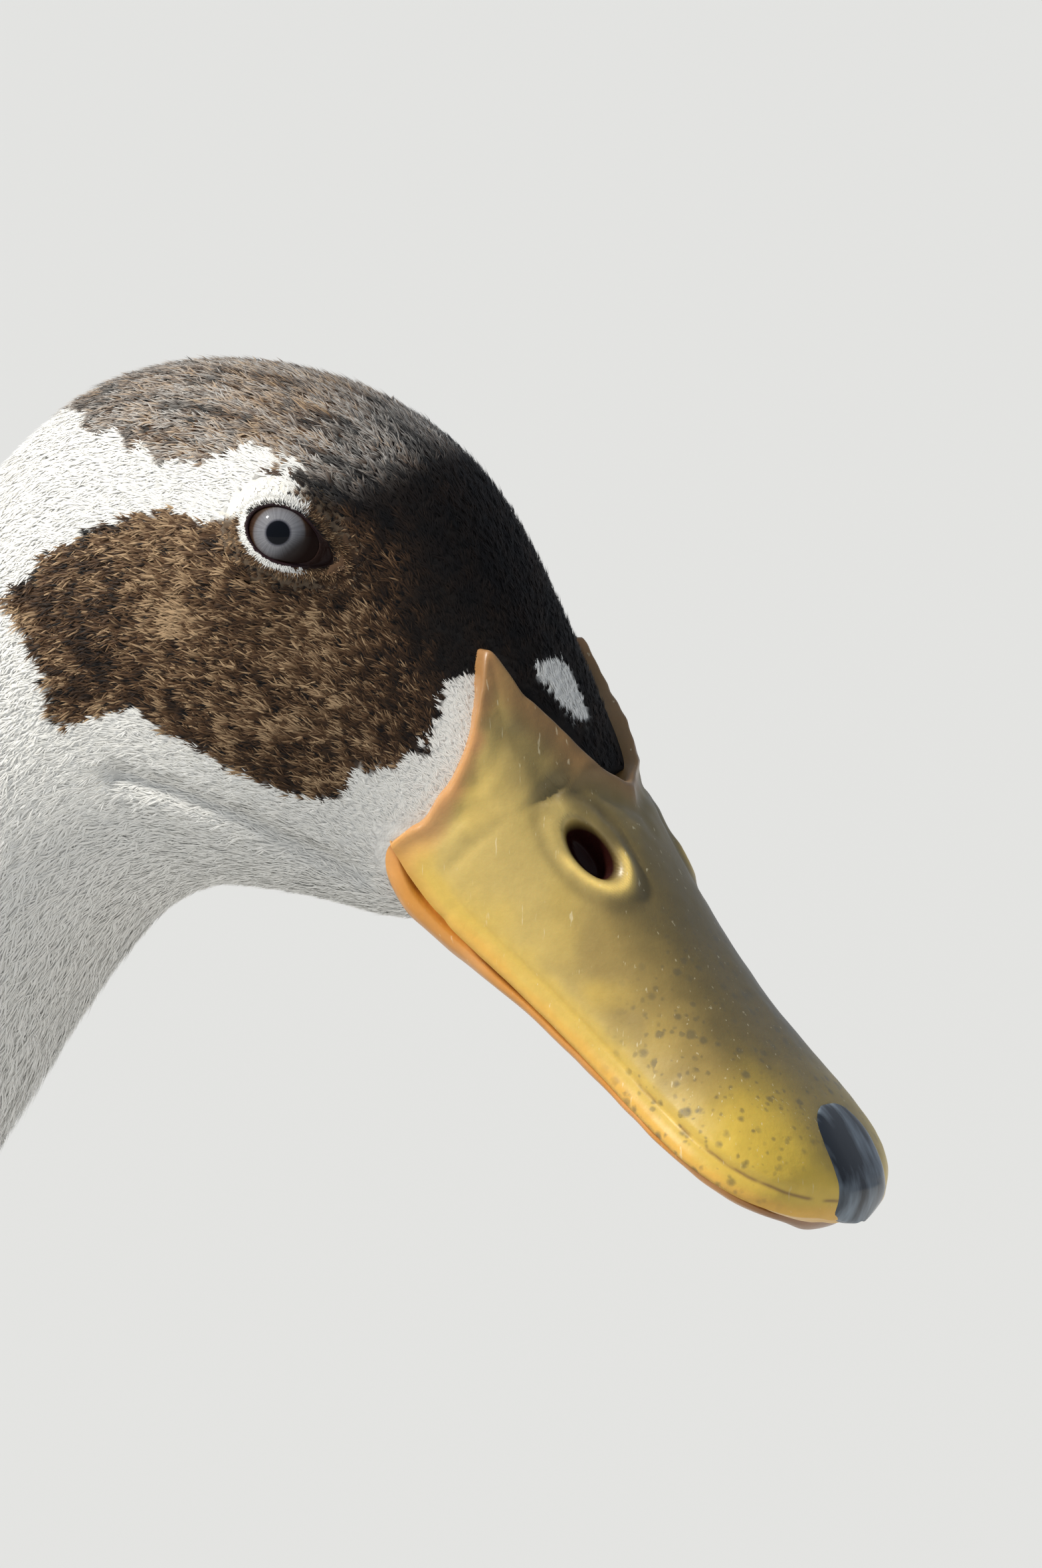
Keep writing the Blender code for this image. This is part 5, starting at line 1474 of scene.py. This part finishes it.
def vanes(
    name, surface, roots, reaches, width, rise, seed, brown, light, net=SMALL_NET, tilt=0, sink=-1.4
):
    """Feathers on a surface from roots (along, around) over reaches, in mm, tips raised by rise."""
    draw = np.random.default_rng(seed)
    count = len(roots)
    net, offsets, pattern = vane_template(*net)
    width, rise, tilt = (np.broadcast_to(value, count).astype(float) for value in (width, rise, tilt))
    _, _, tailward, turning = lie(surface, roots[:, 0], roots[:, 1])
    metric = np.stack([size_of(tailward), size_of(turning)], -1)
    metric = np.maximum(metric, [[0.3, 4]])
    run = reaches * metric
    length = size_of(run)
    beside = np.stack([-run[:, 1], run[:, 0]], -1) / length[:, None] / metric
    finer = np.clip(15 / length, 0.15, 1.1)[:, None]
    x, t = net[:, 0] + offsets[:, 0] * finer, net[:, 1] + offsets[:, 1] * finer
    wide = np.interp(clamped(t), *VANE_WIDTHS)
    bow = draw.normal(0, 0.05, count)
    out = x * wide * 0.5 * width[:, None] + (bow * length)[:, None] * t**2
    along = roots[:, :1] + reaches[:, :1] * t + beside[:, :1] * out
    around = roots[:, 1:] + reaches[:, 1:] * t + beside[:, 1:] * out
    points, normals, _, _ = lie(surface, along, around)
    rising = clamped(t / 0.55) ** 0.8
    high = sink + (rise[:, None] - sink) * rising - 0.065 * width[:, None] * x**2 * wide
    high = high + (0.07 * (np.abs(x) < 0.2) + tilt[:, None] * x) * wide
    high = high + draw.normal(0, 0.12, (count, 1)) * rising
    places = points + normals * high[..., None]
    triangles = (np.arange(count)[:, None, None] * len(net) + pattern).reshape(-1, 3)
    uv = skin_patch(roots[:, 0], roots[:, 1])[:, None] + np.stack([x * 0.5, t - 0.5], -1) * PATCH
    browns = np.repeat(brown[:, None], len(net), 1)
    tints = feather_colour(browns, np.repeat(light[:, None], len(net), 1)).reshape(-1, 3)
    made = joined_mesh(name, places.reshape(-1, 3), triangles, uv.reshape(-1, 2), tints, None)
    for layer_name, values in (
        ("vane", (np.abs(x), t, browns)),
        ("vane_mm", (np.abs(out), t * length[:, None], draw.uniform(0, 1, (count, 1)) + 0 * x)),
    ):
        layer = made.data.attributes.new(layer_name, "FLOAT_VECTOR", "POINT")
        layer.data.foreach_set("vector", np.stack(values, -1).astype(np.float32).ravel())
    made.data.materials.append(vaned)
    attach(made, "root")
    return made


# Lightness of a brown vane from its middle to its edge
PENCILLING = (
    (0, 0.42), (0.36, 0.5), (0.42, 1.2), (0.52, 1.25), (0.58, 0.45), (0.80, 0.42), (0.88, 1.3), (1, 1.35),
)


def vaned_material():
    """Feather vanes: barbs slanting from the shaft, brown ones pencilled inside a fawn edge."""
    made, tree, shader = new_material("vaned_plume")

    def sums(operation, *values, **settings):
        return maths(tree, operation, *values, **settings)

    def axes_of(name):
        vector = stored(tree, name, "Vector")
        return wire(tree, "SeparateXYZ", "X", {0: vector}).node.outputs

    shares, sizes = axes_of("vane"), axes_of("vane_mm")
    place = wire(tree, "TexCoord", "Object")
    wobble = cloud(tree, place, 300, 3)
    beyond = sums("MULTIPLY", sums("MAXIMUM", sums("SUBTRACT", shares["Y"], 0.3), 0), 1.43)
    sideways = sums("MULTIPLY", shares["X"], 0.95)
    ringed = sums("SQRT", sums("ADD", sums("POWER", sideways, 2), sums("POWER", beyond, 2)))
    ringed = sums("ADD", ringed, sums("MULTIPLY", sums("SUBTRACT", wobble, 0.5), 0.16))
    pencil = ramp(tree, ringed, [(share, (value,) * 3) for share, value in PENCILLING])
    colour = stored(tree, "plumage")
    marked = mixed(tree, colour, mixed(tree, colour, pencil, 1, "MULTIPLY"), shares["Z"])
    slanted = sums("SUBTRACT", sizes["Y"], sums("MULTIPLY", sizes["X"], 0.9))
    barbs = sums("SINE", sums("MULTIPLY", slanted, 13))
    # Darker towards the edge and tip of each vane
    edge_darkening = sums("MULTIPLY", sums("SUBTRACT", ringed, 0.70, use_clamp=True), -0.42)
    darker = sums("ADD", sums("ADD", sums("MULTIPLY", barbs, 0.025), 0.975), edge_darkening)
    shaft = sums("LESS_THAN", sizes["X"], 0.22)
    scale = sums("ADD", darker, sums("MULTIPLY", shaft, 0.22))
    lined = wire(tree, "VectorMath", 0, {0: marked, "Scale": scale}, operation="SCALE")
    feed(tree, shader, {
        "Base Color": uneven_colour(tree, lined, 900, 0.2),
        "Roughness": 0.6,
        "Specular IOR Level": 0.2,
    })
    roughen(tree, shader, sums("ADD", barbs, sums("MULTIPLY", shaft, 3)), 0.14, 0.0001)
    return made


vaned = vaned_material()


def body_spacing(along):
    return np.interp(along, [-8, 20, 70, 340, 390], [2.8, 4.2, 6.2, 6.4, 5])


def uniform(seed, low, high, count):
    return np.random.default_rng(seed).uniform(low, high, count)


def normal(seed, middle, spread, count):
    return np.random.default_rng(seed).normal(middle, spread, count)


along, around = spread_roots(-8, RUMP + 30, body_spacing, 51, surface=dressed)
shown = (wing_height(along, around)[1] < 0.3) | (along < 30)
shown |= (np.abs(np.degrees(around)) < 62) & (along < 150)
shown &= uniform(11, 0, 1, len(along)) < ease(-14, 4, along)
along, around = along[shown], around[shown]
count = len(along)
roots, _, tailward, turning = lie(dressed, along, around)
brown = brownness(roots, along, around) > uniform(5, 0.25, 0.75, count)
brown = (brown | (along < 15)) * 1.0
light = tone(roots, along) + normal(6, 0.06, 0.06, count)
long = np.interp(along, [-8, 20, 70, 150, 340, 390], [9, 13, 20, 25, 25, 21])
gap = np.abs(around) - wing_edges(along)[:, 1]
flank = ease(0.40, 0.08, gap) * (gap > -0.16)
flank = flank * ease(165, 135, along) * ease(2, 14, along)
turn = normal(7, 0, 0.07, count) - 0.38 * flank * np.sign(around)
reach = np.stack([
    long * np.cos(turn) / np.maximum(size_of(tailward), 0.45),
    long * np.sin(turn) / np.maximum(size_of(turning), 8),
], -1)
feathers = np.stack([along, around], -1), reach, 0.62 * long, 1.1 + 3 * flank, brown, light
on_back = np.abs(around) < math.pi / 2
for label, chosen, seed, slot in (
    ("back", on_back, 64, "brown_feather"),
    ("belly", ~on_back, 65, "white_feather"),
):
    laid, reaches, width, rise, browns, lights = (values[chosen] for values in feathers)
    vanes("feathers_" + label, dressed, laid, reaches, width, rise, seed, browns, lights)

THIGH_LIFT = 0.3
thigh_span = float(np.linalg.norm(HOCK - KNEE))
for label, side in SIDES:
    drum = limb_surface(KNEE, HOCK, DRUMSTICK, lift=THIGH_LIFT)

    def drum_skin(along, around):
        return drum(along / thigh_span, side * np.asarray(around)) * [1, side, 1]

    def drum_spacing(along):
        return np.interp(along, [0, 60, thigh_span], [2.9, 2.4, 1.35])

    along, around = spread_roots(2, thigh_span * 1.02, drum_spacing, 71, surface=drum_skin)
    roots, normals, flow, _ = lie(drum_skin, along, around)
    long = np.interp(along, [0, 60, thigh_span * 0.9, thigh_span], [11.5, 8.5, 5, 3.4])
    none = np.zeros(len(along))
    drum_tufts = fans(
        "tufts_thigh_" + label, roots - normals * THIGH_LIFT, normals, unit(flow),
        skin_patch(along + 120, around), long, 0.055 * long, 0.34, 6, np.random.default_rng(72), 0.16,
        none, none + 0.5, none,
    )


# Wings: folded against the body, white flight feathers in tiers under brown coverts, each tier over the
# next, laid on a thin plate that stands for the arm and the feathers beneath.
def wing_plate(side):
    """The plate under a wing's feathers: its outer side for the first half of u, then its inner side."""

    def shape(u, v):
        u = u % 1
        along = WING_START + 2 + (WING_END - WING_START - 4) * v
        top, low = np.moveaxis(wing_edges(along), -1, 0)
        across = 1 - np.abs(1 - 2 * u)
        around = top + (low - top) * (0.03 + 0.94 * across)
        points, normals, _, _ = lie(hull, along, around)
        lift = np.where(u < 0.5, wing_height(along, around)[0] - 1.3, -2)
        rim = ease(0, 0.10, np.minimum(across, 1 - across)) * ease(0, 0.10, v)
        lift = lift * rim - 1.9 * (1 - rim)
        return (points + normals * lift[..., None]) * [1, side, 1]

    return shape


# Tiers: root of the first feather as mm along and degrees round, change to the last one's, the same for
# the tips, how many feathers, width, first and last rise, and share of brown ones
WING_TIERS = [
    ("primaries", (172, 80), (16, -32), (249, 54), (36, -36), 7, 13, 0.4, 1.5, 0),
    ("secondaries", (72, 83), (88, -24), (126, 107), (100, -32), 12, 19, 0.8, 1.6, 0),
    ("tertials", (118, 54), (30, -24), (202, 60), (40, -30), 5, 22, 1.6, 2.1, 1.1),
    ("greater_coverts", (50, 79), (80, -42), (90, 96), (92, -51), 16, 13.5, 1.7, 2.3, 0.42),
    ("median_coverts", (30, 76), (52, -36), (62, 88), (62, -44), 14, 12, 2.3, 2.6, 1.1),
]
for label, side in SIDES:
    plate = piece(grid_mesh(64, 60, wing_plate(side)), "wing_plate_" + label)
    plate_places = corners_mm(plate)
    plate_front = ease(205, 225, plate_places[:, 2] - 0.9 * plate_places[:, 0])
    store_colour(plate, "plumage", feather_colour(plate_front, np.full(len(plate_places), 0.45)))
    plate.data.materials.append(down)
    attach(plate, "root")
    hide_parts("wing_" + label)
    turned = np.array([1, math.radians(side)])
    for index, (tier, root, shift, tip, tip_shift, count, width, *rises, brown) in enumerate(WING_TIERS):
        share = np.linspace(0, 1, count)[:, None]
        root_at = np.array(root) + share * shift
        tip_at = np.array(tip) + share * tip_shift + normal(80 + index, 0, 0.9, (count, 2))
        if tier == "secondaries":
            tip_at[:, 1] -= 14 * (share[:, 0] - 0.5) ** 2 - 3.5
        vanes(
            f"{tier}_{label}", wing_back, root_at * turned, (tip_at - root_at) * turned, width,
            np.linspace(*rises, count), 100 + index, (share[:, 0] > 1 - brown) * 1.0, np.full(count, 0.5),
            net=LARGE_NET, tilt=0.45 * side, sink=-2.3,
        )
    along, around = spread_roots(
        WING_START - 4, 118, lambda along: 5 + 0.01 * along, 110, surface=wing_back, low=0.35, high=1.95
    )
    within = wing_height(along, around)[1]
    kept = (within > -0.05) & (np.degrees(around) < 106 - 0.64 * np.maximum(along - 32, 0))
    along, around, within = along[kept], around[kept], within[kept]
    long = np.interp(along, [10, 60, 120], [11, 15, 19])
    reach = np.stack([long, normal(9, 0.06, 0.03, len(along))], -1)
    vanes(
        "lesser_coverts_" + label, wing_back, np.stack([along, around], -1) * [1, side], reach * [1, side],
        long * 0.62, 1.4 + 1.8 * ease(0, 0.7, within), 111, np.ones(len(along)),
        tone(wing_back(along, around), along),
    )


# Tail: a short fan of stiff, brown feathers, closed and nearly level, rooted in the fleshy end of the
# trunk, with brown coverts over it and white ones under it.
# Length from the trunk's end, spread to each side in degrees, number of feathers and where they root
TAIL_LENGTH, TAIL_FAN, TAIL_FEATHERS, TAIL_FEATHER_ROOT = 84, 27, 14, 28
# Half the thickness of the tail under its feathers, by mm from the trunk's end
TAIL_CORE = (
    [-31, -20, -9, 0, 12, 20, 28, 36, 44, 52, 60, 90],
    [19.6, 17.6, 15.4, 13.4, 10.2, 8.8, 7.4, 5.8, 3.9, 2.1, 1.3, 1.1],
)


def tail_fan(above):
    """The upper or under side of the fan as surface(mm back, spread in radians)."""

    def surface(reach, spread):
        reach, spread = np.broadcast_arrays(np.asarray(reach, float), np.asarray(spread, float))
        spread = spread if above else -spread
        core = np.interp(reach, *TAIL_CORE)
        broad = np.maximum(reach + 6, 34)
        beside = broad * np.sin(spread) / np.interp(reach, [-31, 0, 28, 46, 60], [27, 23, 23, 32, 60])
        core = core * np.sqrt(np.clip(1 - beside**2, 0.04, 1))
        up = core if above else -core - 0.4 + 1.6 * ease(14, -8, reach)
        droop = 9 * np.abs(np.sin(spread)) * np.clip(reach / TAIL_LENGTH, 0, 1.2)
        points = TAIL_ROOT + TAIL_FORWARD * (reach * np.cos(spread))[..., None]
        points = points + TAIL_UP * (up - droop)[..., None]
        points[..., 1] = broad * np.sin(spread)
        return points

    return surface


spreads = np.radians(np.linspace(-TAIL_FAN, TAIL_FAN, TAIL_FEATHERS))
spreads = spreads[np.argsort(-np.abs(spreads))]
full = np.ones(TAIL_FEATHERS)
tips = TAIL_LENGTH - 0.012 * np.degrees(spreads) ** 2
rectrices = vanes(
    "tail_feathers", tail_fan(True), np.stack([TAIL_FEATHER_ROOT * full, spreads], -1),
    np.stack([tips - TAIL_FEATHER_ROOT, 0 * full], -1), 13.5, np.linspace(-0.5, 1.2, TAIL_FEATHERS), 120,
    full, 0.5 * full, net=LARGE_NET, tilt=-0.5 * np.sign(spreads), sink=-1,
)
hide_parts("tail")
for name, above, first, last, long, rows_of, brown in (
    ("tail_coverts_upper", True, 6, 34, 27, 5, 1),
    ("tail_coverts_under", False, -22, 32, 28, 9, 0),
):
    roots, reaches = [], []
    for row in range(rows_of):
        back = first + (last - first) * row / (rows_of - 1)
        edge = 34 - 2 * row if above else 33 - row
        wide = np.linspace(-edge, edge, 7 + row % 2)
        roots += [(back, math.radians(turn)) for turn in wide]
        reaches += [(long - 0.12 * abs(turn), 0) for turn in wide]
    full = np.ones(len(roots))
    vanes(
        name, tail_fan(above), np.array(roots), np.array(reaches), 14, 1.7, 121 + above, brown * full,
        0.5 * full,
    )


# Legs: orange scaled skin, with broad scutes down the front of the shank and over each toe, and thin
# webs between the three front toes. The hind toe is short and hangs clear of the web.
ANKLE = np.array([-12, 35, 9])
SHANK = [
    (-0.02, 4.6, 4.4), (0, 5.4, 5.2), (0.08, 6, 5.4), (0.2, 4.9, 4.2), (0.5, 4, 3.1), (0.8, 4.1, 3.3),
    (0.93, 4.9, 4.5), (1.02, 4.7, 4.5), (1.10, 3.2, 3.1), (1.14, 1.4, 1.4),
]
# Length of a scute and of a claw, and how deep a claw sits in its toe
SCUTE, CLAW, CLAW_SUNK = 2.3, 6.5, 0.3
# Toes: degrees from straight ahead, length, and radius at the root and the tip
TOES = [("inner", -24, 50, 3.3, 2), ("middle", 2, 60, 3.5, 2.1), ("outer", 25, 55, 3.3, 2)]
HIND_TOE = ("hind", 172, 17, 2.4, 1.5)
# Degrees that a foot turns out, mm from the ankle to the toes, and share of a toe before its last joint
FOOT_TURN, FOOT_START, FOOT_ROWS, JOINT_START = 6, 2.5, 63, 0.78
# Half sizes of the foot's root and its place from the ankle
HEEL_SIZE, HEEL_SHIFT = (6.2, 4.8, 4.6), (1, 0, -4)
# Web: share of the toes that it reaches, how far it is cut back, and heights of its upper and under side
WEB_REACH, WEB_SAG, WEB_TOP, WEB_LOW = 0.9, 0.17, 1.6, 0.36
# A toe's section, as places across and heights by its radius
TOE_SIDE = [(1, 0.95), (0.85, 1.35), (0.6, 1.7), (0.3, 1.89)]
TOE_ARCH = np.array([*((-beside, high) for beside, high in TOE_SIDE), (0, 1.95), *reversed(TOE_SIDE)])
shank_span = float(np.linalg.norm(ANKLE - HOCK))


def scute_lift(along, frontness):
    """Overlapping plates across the front of a leg or toe, each rising to its lower edge."""
    part = (along / SCUTE) % 1
    return 0.32 * part**1.5 * ease(1, 0.9, part) * frontness


def toe_way(angle, side):
    turn = math.radians(angle + FOOT_TURN)
    return np.array([math.cos(turn), side * math.sin(turn), 0])


def toe_row(toe, share, side):
    """Places across a toe at a share of its length, with the height of each."""
    _, angle, length, root, tip = toe
    way = toe_way(angle, side)
    across = np.array([-way[1], way[0], 0]) * side
    middle = ANKLE * [1, side, 0] + way * (FOOT_START + (length - FOOT_START) * share)
    half = (root + (tip - root) * share) * (1 + 0.07 * math.cos(share * 5 * math.pi))
    half = half * min(1, 0.55 + 1.5 * share)
    places = middle + across * (half * TOE_ARCH[:, :1])
    heights = half * TOE_ARCH[:, 1] + scute_lift(share * length, 1 - np.abs(TOE_ARCH[:, 0]) ** 3)
    return places, heights


def foot_shape(side):
    """The toes and the webs between them: their upper side for the first half of u, then the sole."""
    base = ANKLE * [1, side, 0]
    steps = np.linspace(0, 1, 8)[1:-1, None]
    net = []
    for share in np.linspace(0, 1, FOOT_ROWS + 1):
        places, heights = [], []
        for toe in TOES:
            toe_places, toe_heights = toe_row(toe, share * WEB_REACH, side)
            if places:
                last = places[-1][-1]
                web = last + (toe_places[0] - last) * steps
                sag = WEB_SAG * share**2 * (4 * steps * (1 - steps)) ** 0.5
                places.append(base + (web - base) * (1 - sag))
                heights.append(WEB_TOP + 0.25 * np.sin(steps[:, 0] * math.pi * 5) * share)
            places.append(toe_places)
            heights.append(toe_heights)
        net.append(np.column_stack([np.concatenate(places), np.concatenate(heights)]))
    net = np.array(net)
    columns = net.shape[1] - 1

    def shape(u, v):
        across = np.where(u < 0.5, u * 2, 2 - u * 2) * columns
        row = np.round(v * FOOT_ROWS).astype(int)
        left = np.minimum(across.astype(int), columns - 1)
        part = (across - left)[:, None]
        found = net[row, left] * (1 - part) + net[row, left + 1] * part
        top = found[:, 3]
        low = np.where(top > WEB_TOP + 0.3, 0, WEB_LOW)
        rim = ease(0, 0.02, np.minimum(u % 0.5, 0.5 - u % 0.5))
        rim = np.where((u < 1e-6) | (u > 1 - 1e-6), 0, rim)
        level = np.where(u < 0.5, top * (0.55 + 0.45 * rim), low + (0.55 * top - low) * (1 - rim))
        return np.column_stack([found[:, 0], found[:, 1], level])

    return shape


def toe_end(way, start, length, root, tip, lift):
    """A toe's last length from a start to its claw, rounded off, its root raised by lift mm."""
    across = np.cross([0, 0, 1], way)

    def shape(u, v):
        rounding = np.sqrt(np.clip(1 - (np.maximum(v - 0.70, 0) / 0.30) ** 2, 0.02, 1))
        radius = (root + (tip - root) * v) * rounding
        turn = u * math.tau
        points = start + way * (length * v)[:, None] + across * (radius * np.sin(turn))[:, None]
        high = radius * (0.95 + np.cos(turn)) + lift * (1 - v)
        points[:, 2] = np.maximum(high + scute_lift(v * length, np.maximum(np.cos(turn), 0)), 0)
        return points

    return shape


def leg_material():
    """Orange skin in small round scales, with painted shade in the creases between them."""
    made, tree, shader, colour = coloured_material("leg_scales", "leg", 500, 0.35, 0.5)
    cells_of = {"Vector": wire(tree, "TexCoord", "Object"), "Scale": 1250}
    cells = wire(tree, "TexVoronoi", "Distance", cells_of, feature="DISTANCE_TO_EDGE")
    crease = ranged(tree, cells, 0, 0.12)
    shade = maths(tree, "MULTIPLY_ADD", crease, -0.38, 0.38)
    feed(tree, shader, {"Base Color": mixed(tree, colour, (0.30, 0.10, 0.02, 1), shade)})
    roughen(tree, shader, crease, 0.6, 0.0003)
    return made


leg_scales = leg_material()


def finish_leg(made, node_name):
    """Colours a leg piece and fixes it in the place of its node."""
    places = corners_mm(made)
    blotch = noise(places, 6, 19, 0.18)[:, None] * [1, 0.7, 0.2]
    store_colour(made, "leg", np.clip([0.66, 0.26, 0.04] + blotch, 0.01, 1))
    made.data.materials.append(leg_scales)
    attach(made, "root")
    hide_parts(node_name)


def claw_shape(way, base, root):
    """A short claw curved down, tapering to a blunt point."""
    across = np.cross([0, 0, 1], way)

    def shape(u, v):
        radius = root * (1 - v) ** 0.7 * 0.85 + 0.12
        turn = u * math.tau
        points = base + way * (CLAW * v)[:, None] + across * (radius * 0.8 * np.sin(turn))[:, None]
        high = root * 0.9 - 0.9 * v**2 + 0.35 * np.sin(math.pi * v) + radius * np.cos(turn)
        points[:, 2] = np.maximum(high, 0)
        return points

    return shape


for label, side in SIDES:
    shank_skin = limb_surface(HOCK, ANKLE, SHANK)
    ground = ANKLE * [1, side, 0]

    def scaled_shank(u, v):
        turn, share = u * math.tau, SHANK[0][0] + (SHANK[-1][0] - SHANK[0][0]) * v
        points = shank_skin(share, turn)
        middle = HOCK + (ANKLE - HOCK) * share[:, None]
        lift = scute_lift(share * shank_span, np.maximum(np.cos(turn), 0) ** 0.5)
        return (points + unit(points - middle) * lift[:, None]) * [1, side, 1]

    shank = piece(grid_mesh(72, 180, scaled_shank), "shank_skin_" + label)
    finish_leg(shank, "shank_" + label)

    foot = piece(grid_mesh(152, FOOT_ROWS, foot_shape(side)), "foot_skin_" + label)
    parts = []
    for _, angle, length, root, tip in TOES:
        way = toe_way(angle, side)
        begin = FOOT_START + (length - FOOT_START) * JOINT_START
        near = root + (tip - root) * JOINT_START
        end = toe_end(way, ground + way * begin, length - begin, near, tip, 0)
        parts.append(piece(grid_mesh(32, 24, end), "toe"))
    hind = toe_end(toe_way(HIND_TOE[1], side), ground, *HIND_TOE[2:], 1.6)
    parts.append(piece(grid_mesh(32, 40, hind), "toe"))
    heel = bmesh.new()
    bmesh.ops.create_uvsphere(heel, u_segments=40, v_segments=24, radius=1)
    for corner in heel.verts:
        corner.co = metres(np.array(corner.co) * HEEL_SIZE + ANKLE * [1, side, 1] + HEEL_SHIFT)
    parts.append(piece(heel, "heel"))
    fuse(foot, parts)
    finish_leg(foot, "foot_" + label)

    for name, angle, length, _, tip in [*TOES, HIND_TOE]:
        way = toe_way(angle, side)
        shape = claw_shape(way, ground + way * (length - CLAW_SUNK), tip)
        claw = piece(grid_mesh(20, 14, shape), f"claw_{name}_{label}_horn")
        claw.data.materials.append(dark_horn)
        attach(claw, "root")
        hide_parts(f"claw_{name}_{label}")


# Floor and light: a wide, pale floor of matt paint that isn't part of the object. One soft key light
# stands at the upper left of the picture, and a pale room fills the shadows.
floor_grid = bmesh.new()
bmesh.ops.create_grid(floor_grid, x_segments=1, y_segments=1, size=60)
floor = piece(floor_grid, "floor")
floor_paint, floor_tree, floor_shader = new_material("floor_paint")
feed(floor_tree, floor_shader, {"Base Color": (0.56, 0.56, 0.55, 1), "Roughness": 0.85})
floor.data.materials.append(floor_paint)

TO_KEY = unit(np.array([-0.48, -0.50, 0.72]))
key = new_object("key", bpy.data.lights.new("key", "SUN"))
key.data.energy = 4.5
key.data.angle = math.radians(6)
key.data.color = (1, 0.965, 0.90)
key.rotation_euler = Vector(TO_KEY).to_track_quat("Z", "Y").to_euler()
room = bpy.data.worlds.new("room")
bpy.context.scene.world = room
room.use_nodes = True
feed(room.node_tree, room.node_tree.nodes["Background"], {"Color": (0.80, 0.88, 1, 1), "Strength": 0.45})
bpy.context.scene.view_settings.view_transform = "Standard"


# Camera: at the photograph's angle and framing, on the head and the top of the neck, so that a render
# can be laid beside the photo.
AZIMUTH, ELEVATION = math.radians(28), math.radians(5)
TO_CAMERA = np.array([
    math.sin(AZIMUTH) * math.cos(ELEVATION), -math.cos(AZIMUTH) * math.cos(ELEVATION), math.sin(ELEVATION)
])
CAMERA_RIGHT = np.array([math.cos(AZIMUTH), math.sin(AZIMUTH), 0])
CAMERA_UP = np.cross(TO_CAMERA, CAMERA_RIGHT)
CAMERA_ACROSS, CAMERA_HIGH, CAMERA_AWAY = -8.86, -1.49, 1193
camera = new_object("camera", bpy.data.cameras.new("camera"))
camera.data.lens, camera.data.sensor_width = 300, 36
camera.data.clip_end = 200
turned = Matrix(np.array([CAMERA_RIGHT, CAMERA_UP, TO_CAMERA]).T).to_4x4()
camera_place = FEATHER_POINT + CAMERA_RIGHT * CAMERA_ACROSS + CAMERA_UP * CAMERA_HIGH
camera_place = camera_place + TO_CAMERA * CAMERA_AWAY
camera.matrix_world = Matrix.Translation(Vector(metres(camera_place))) @ turned
bpy.context.scene.camera = camera
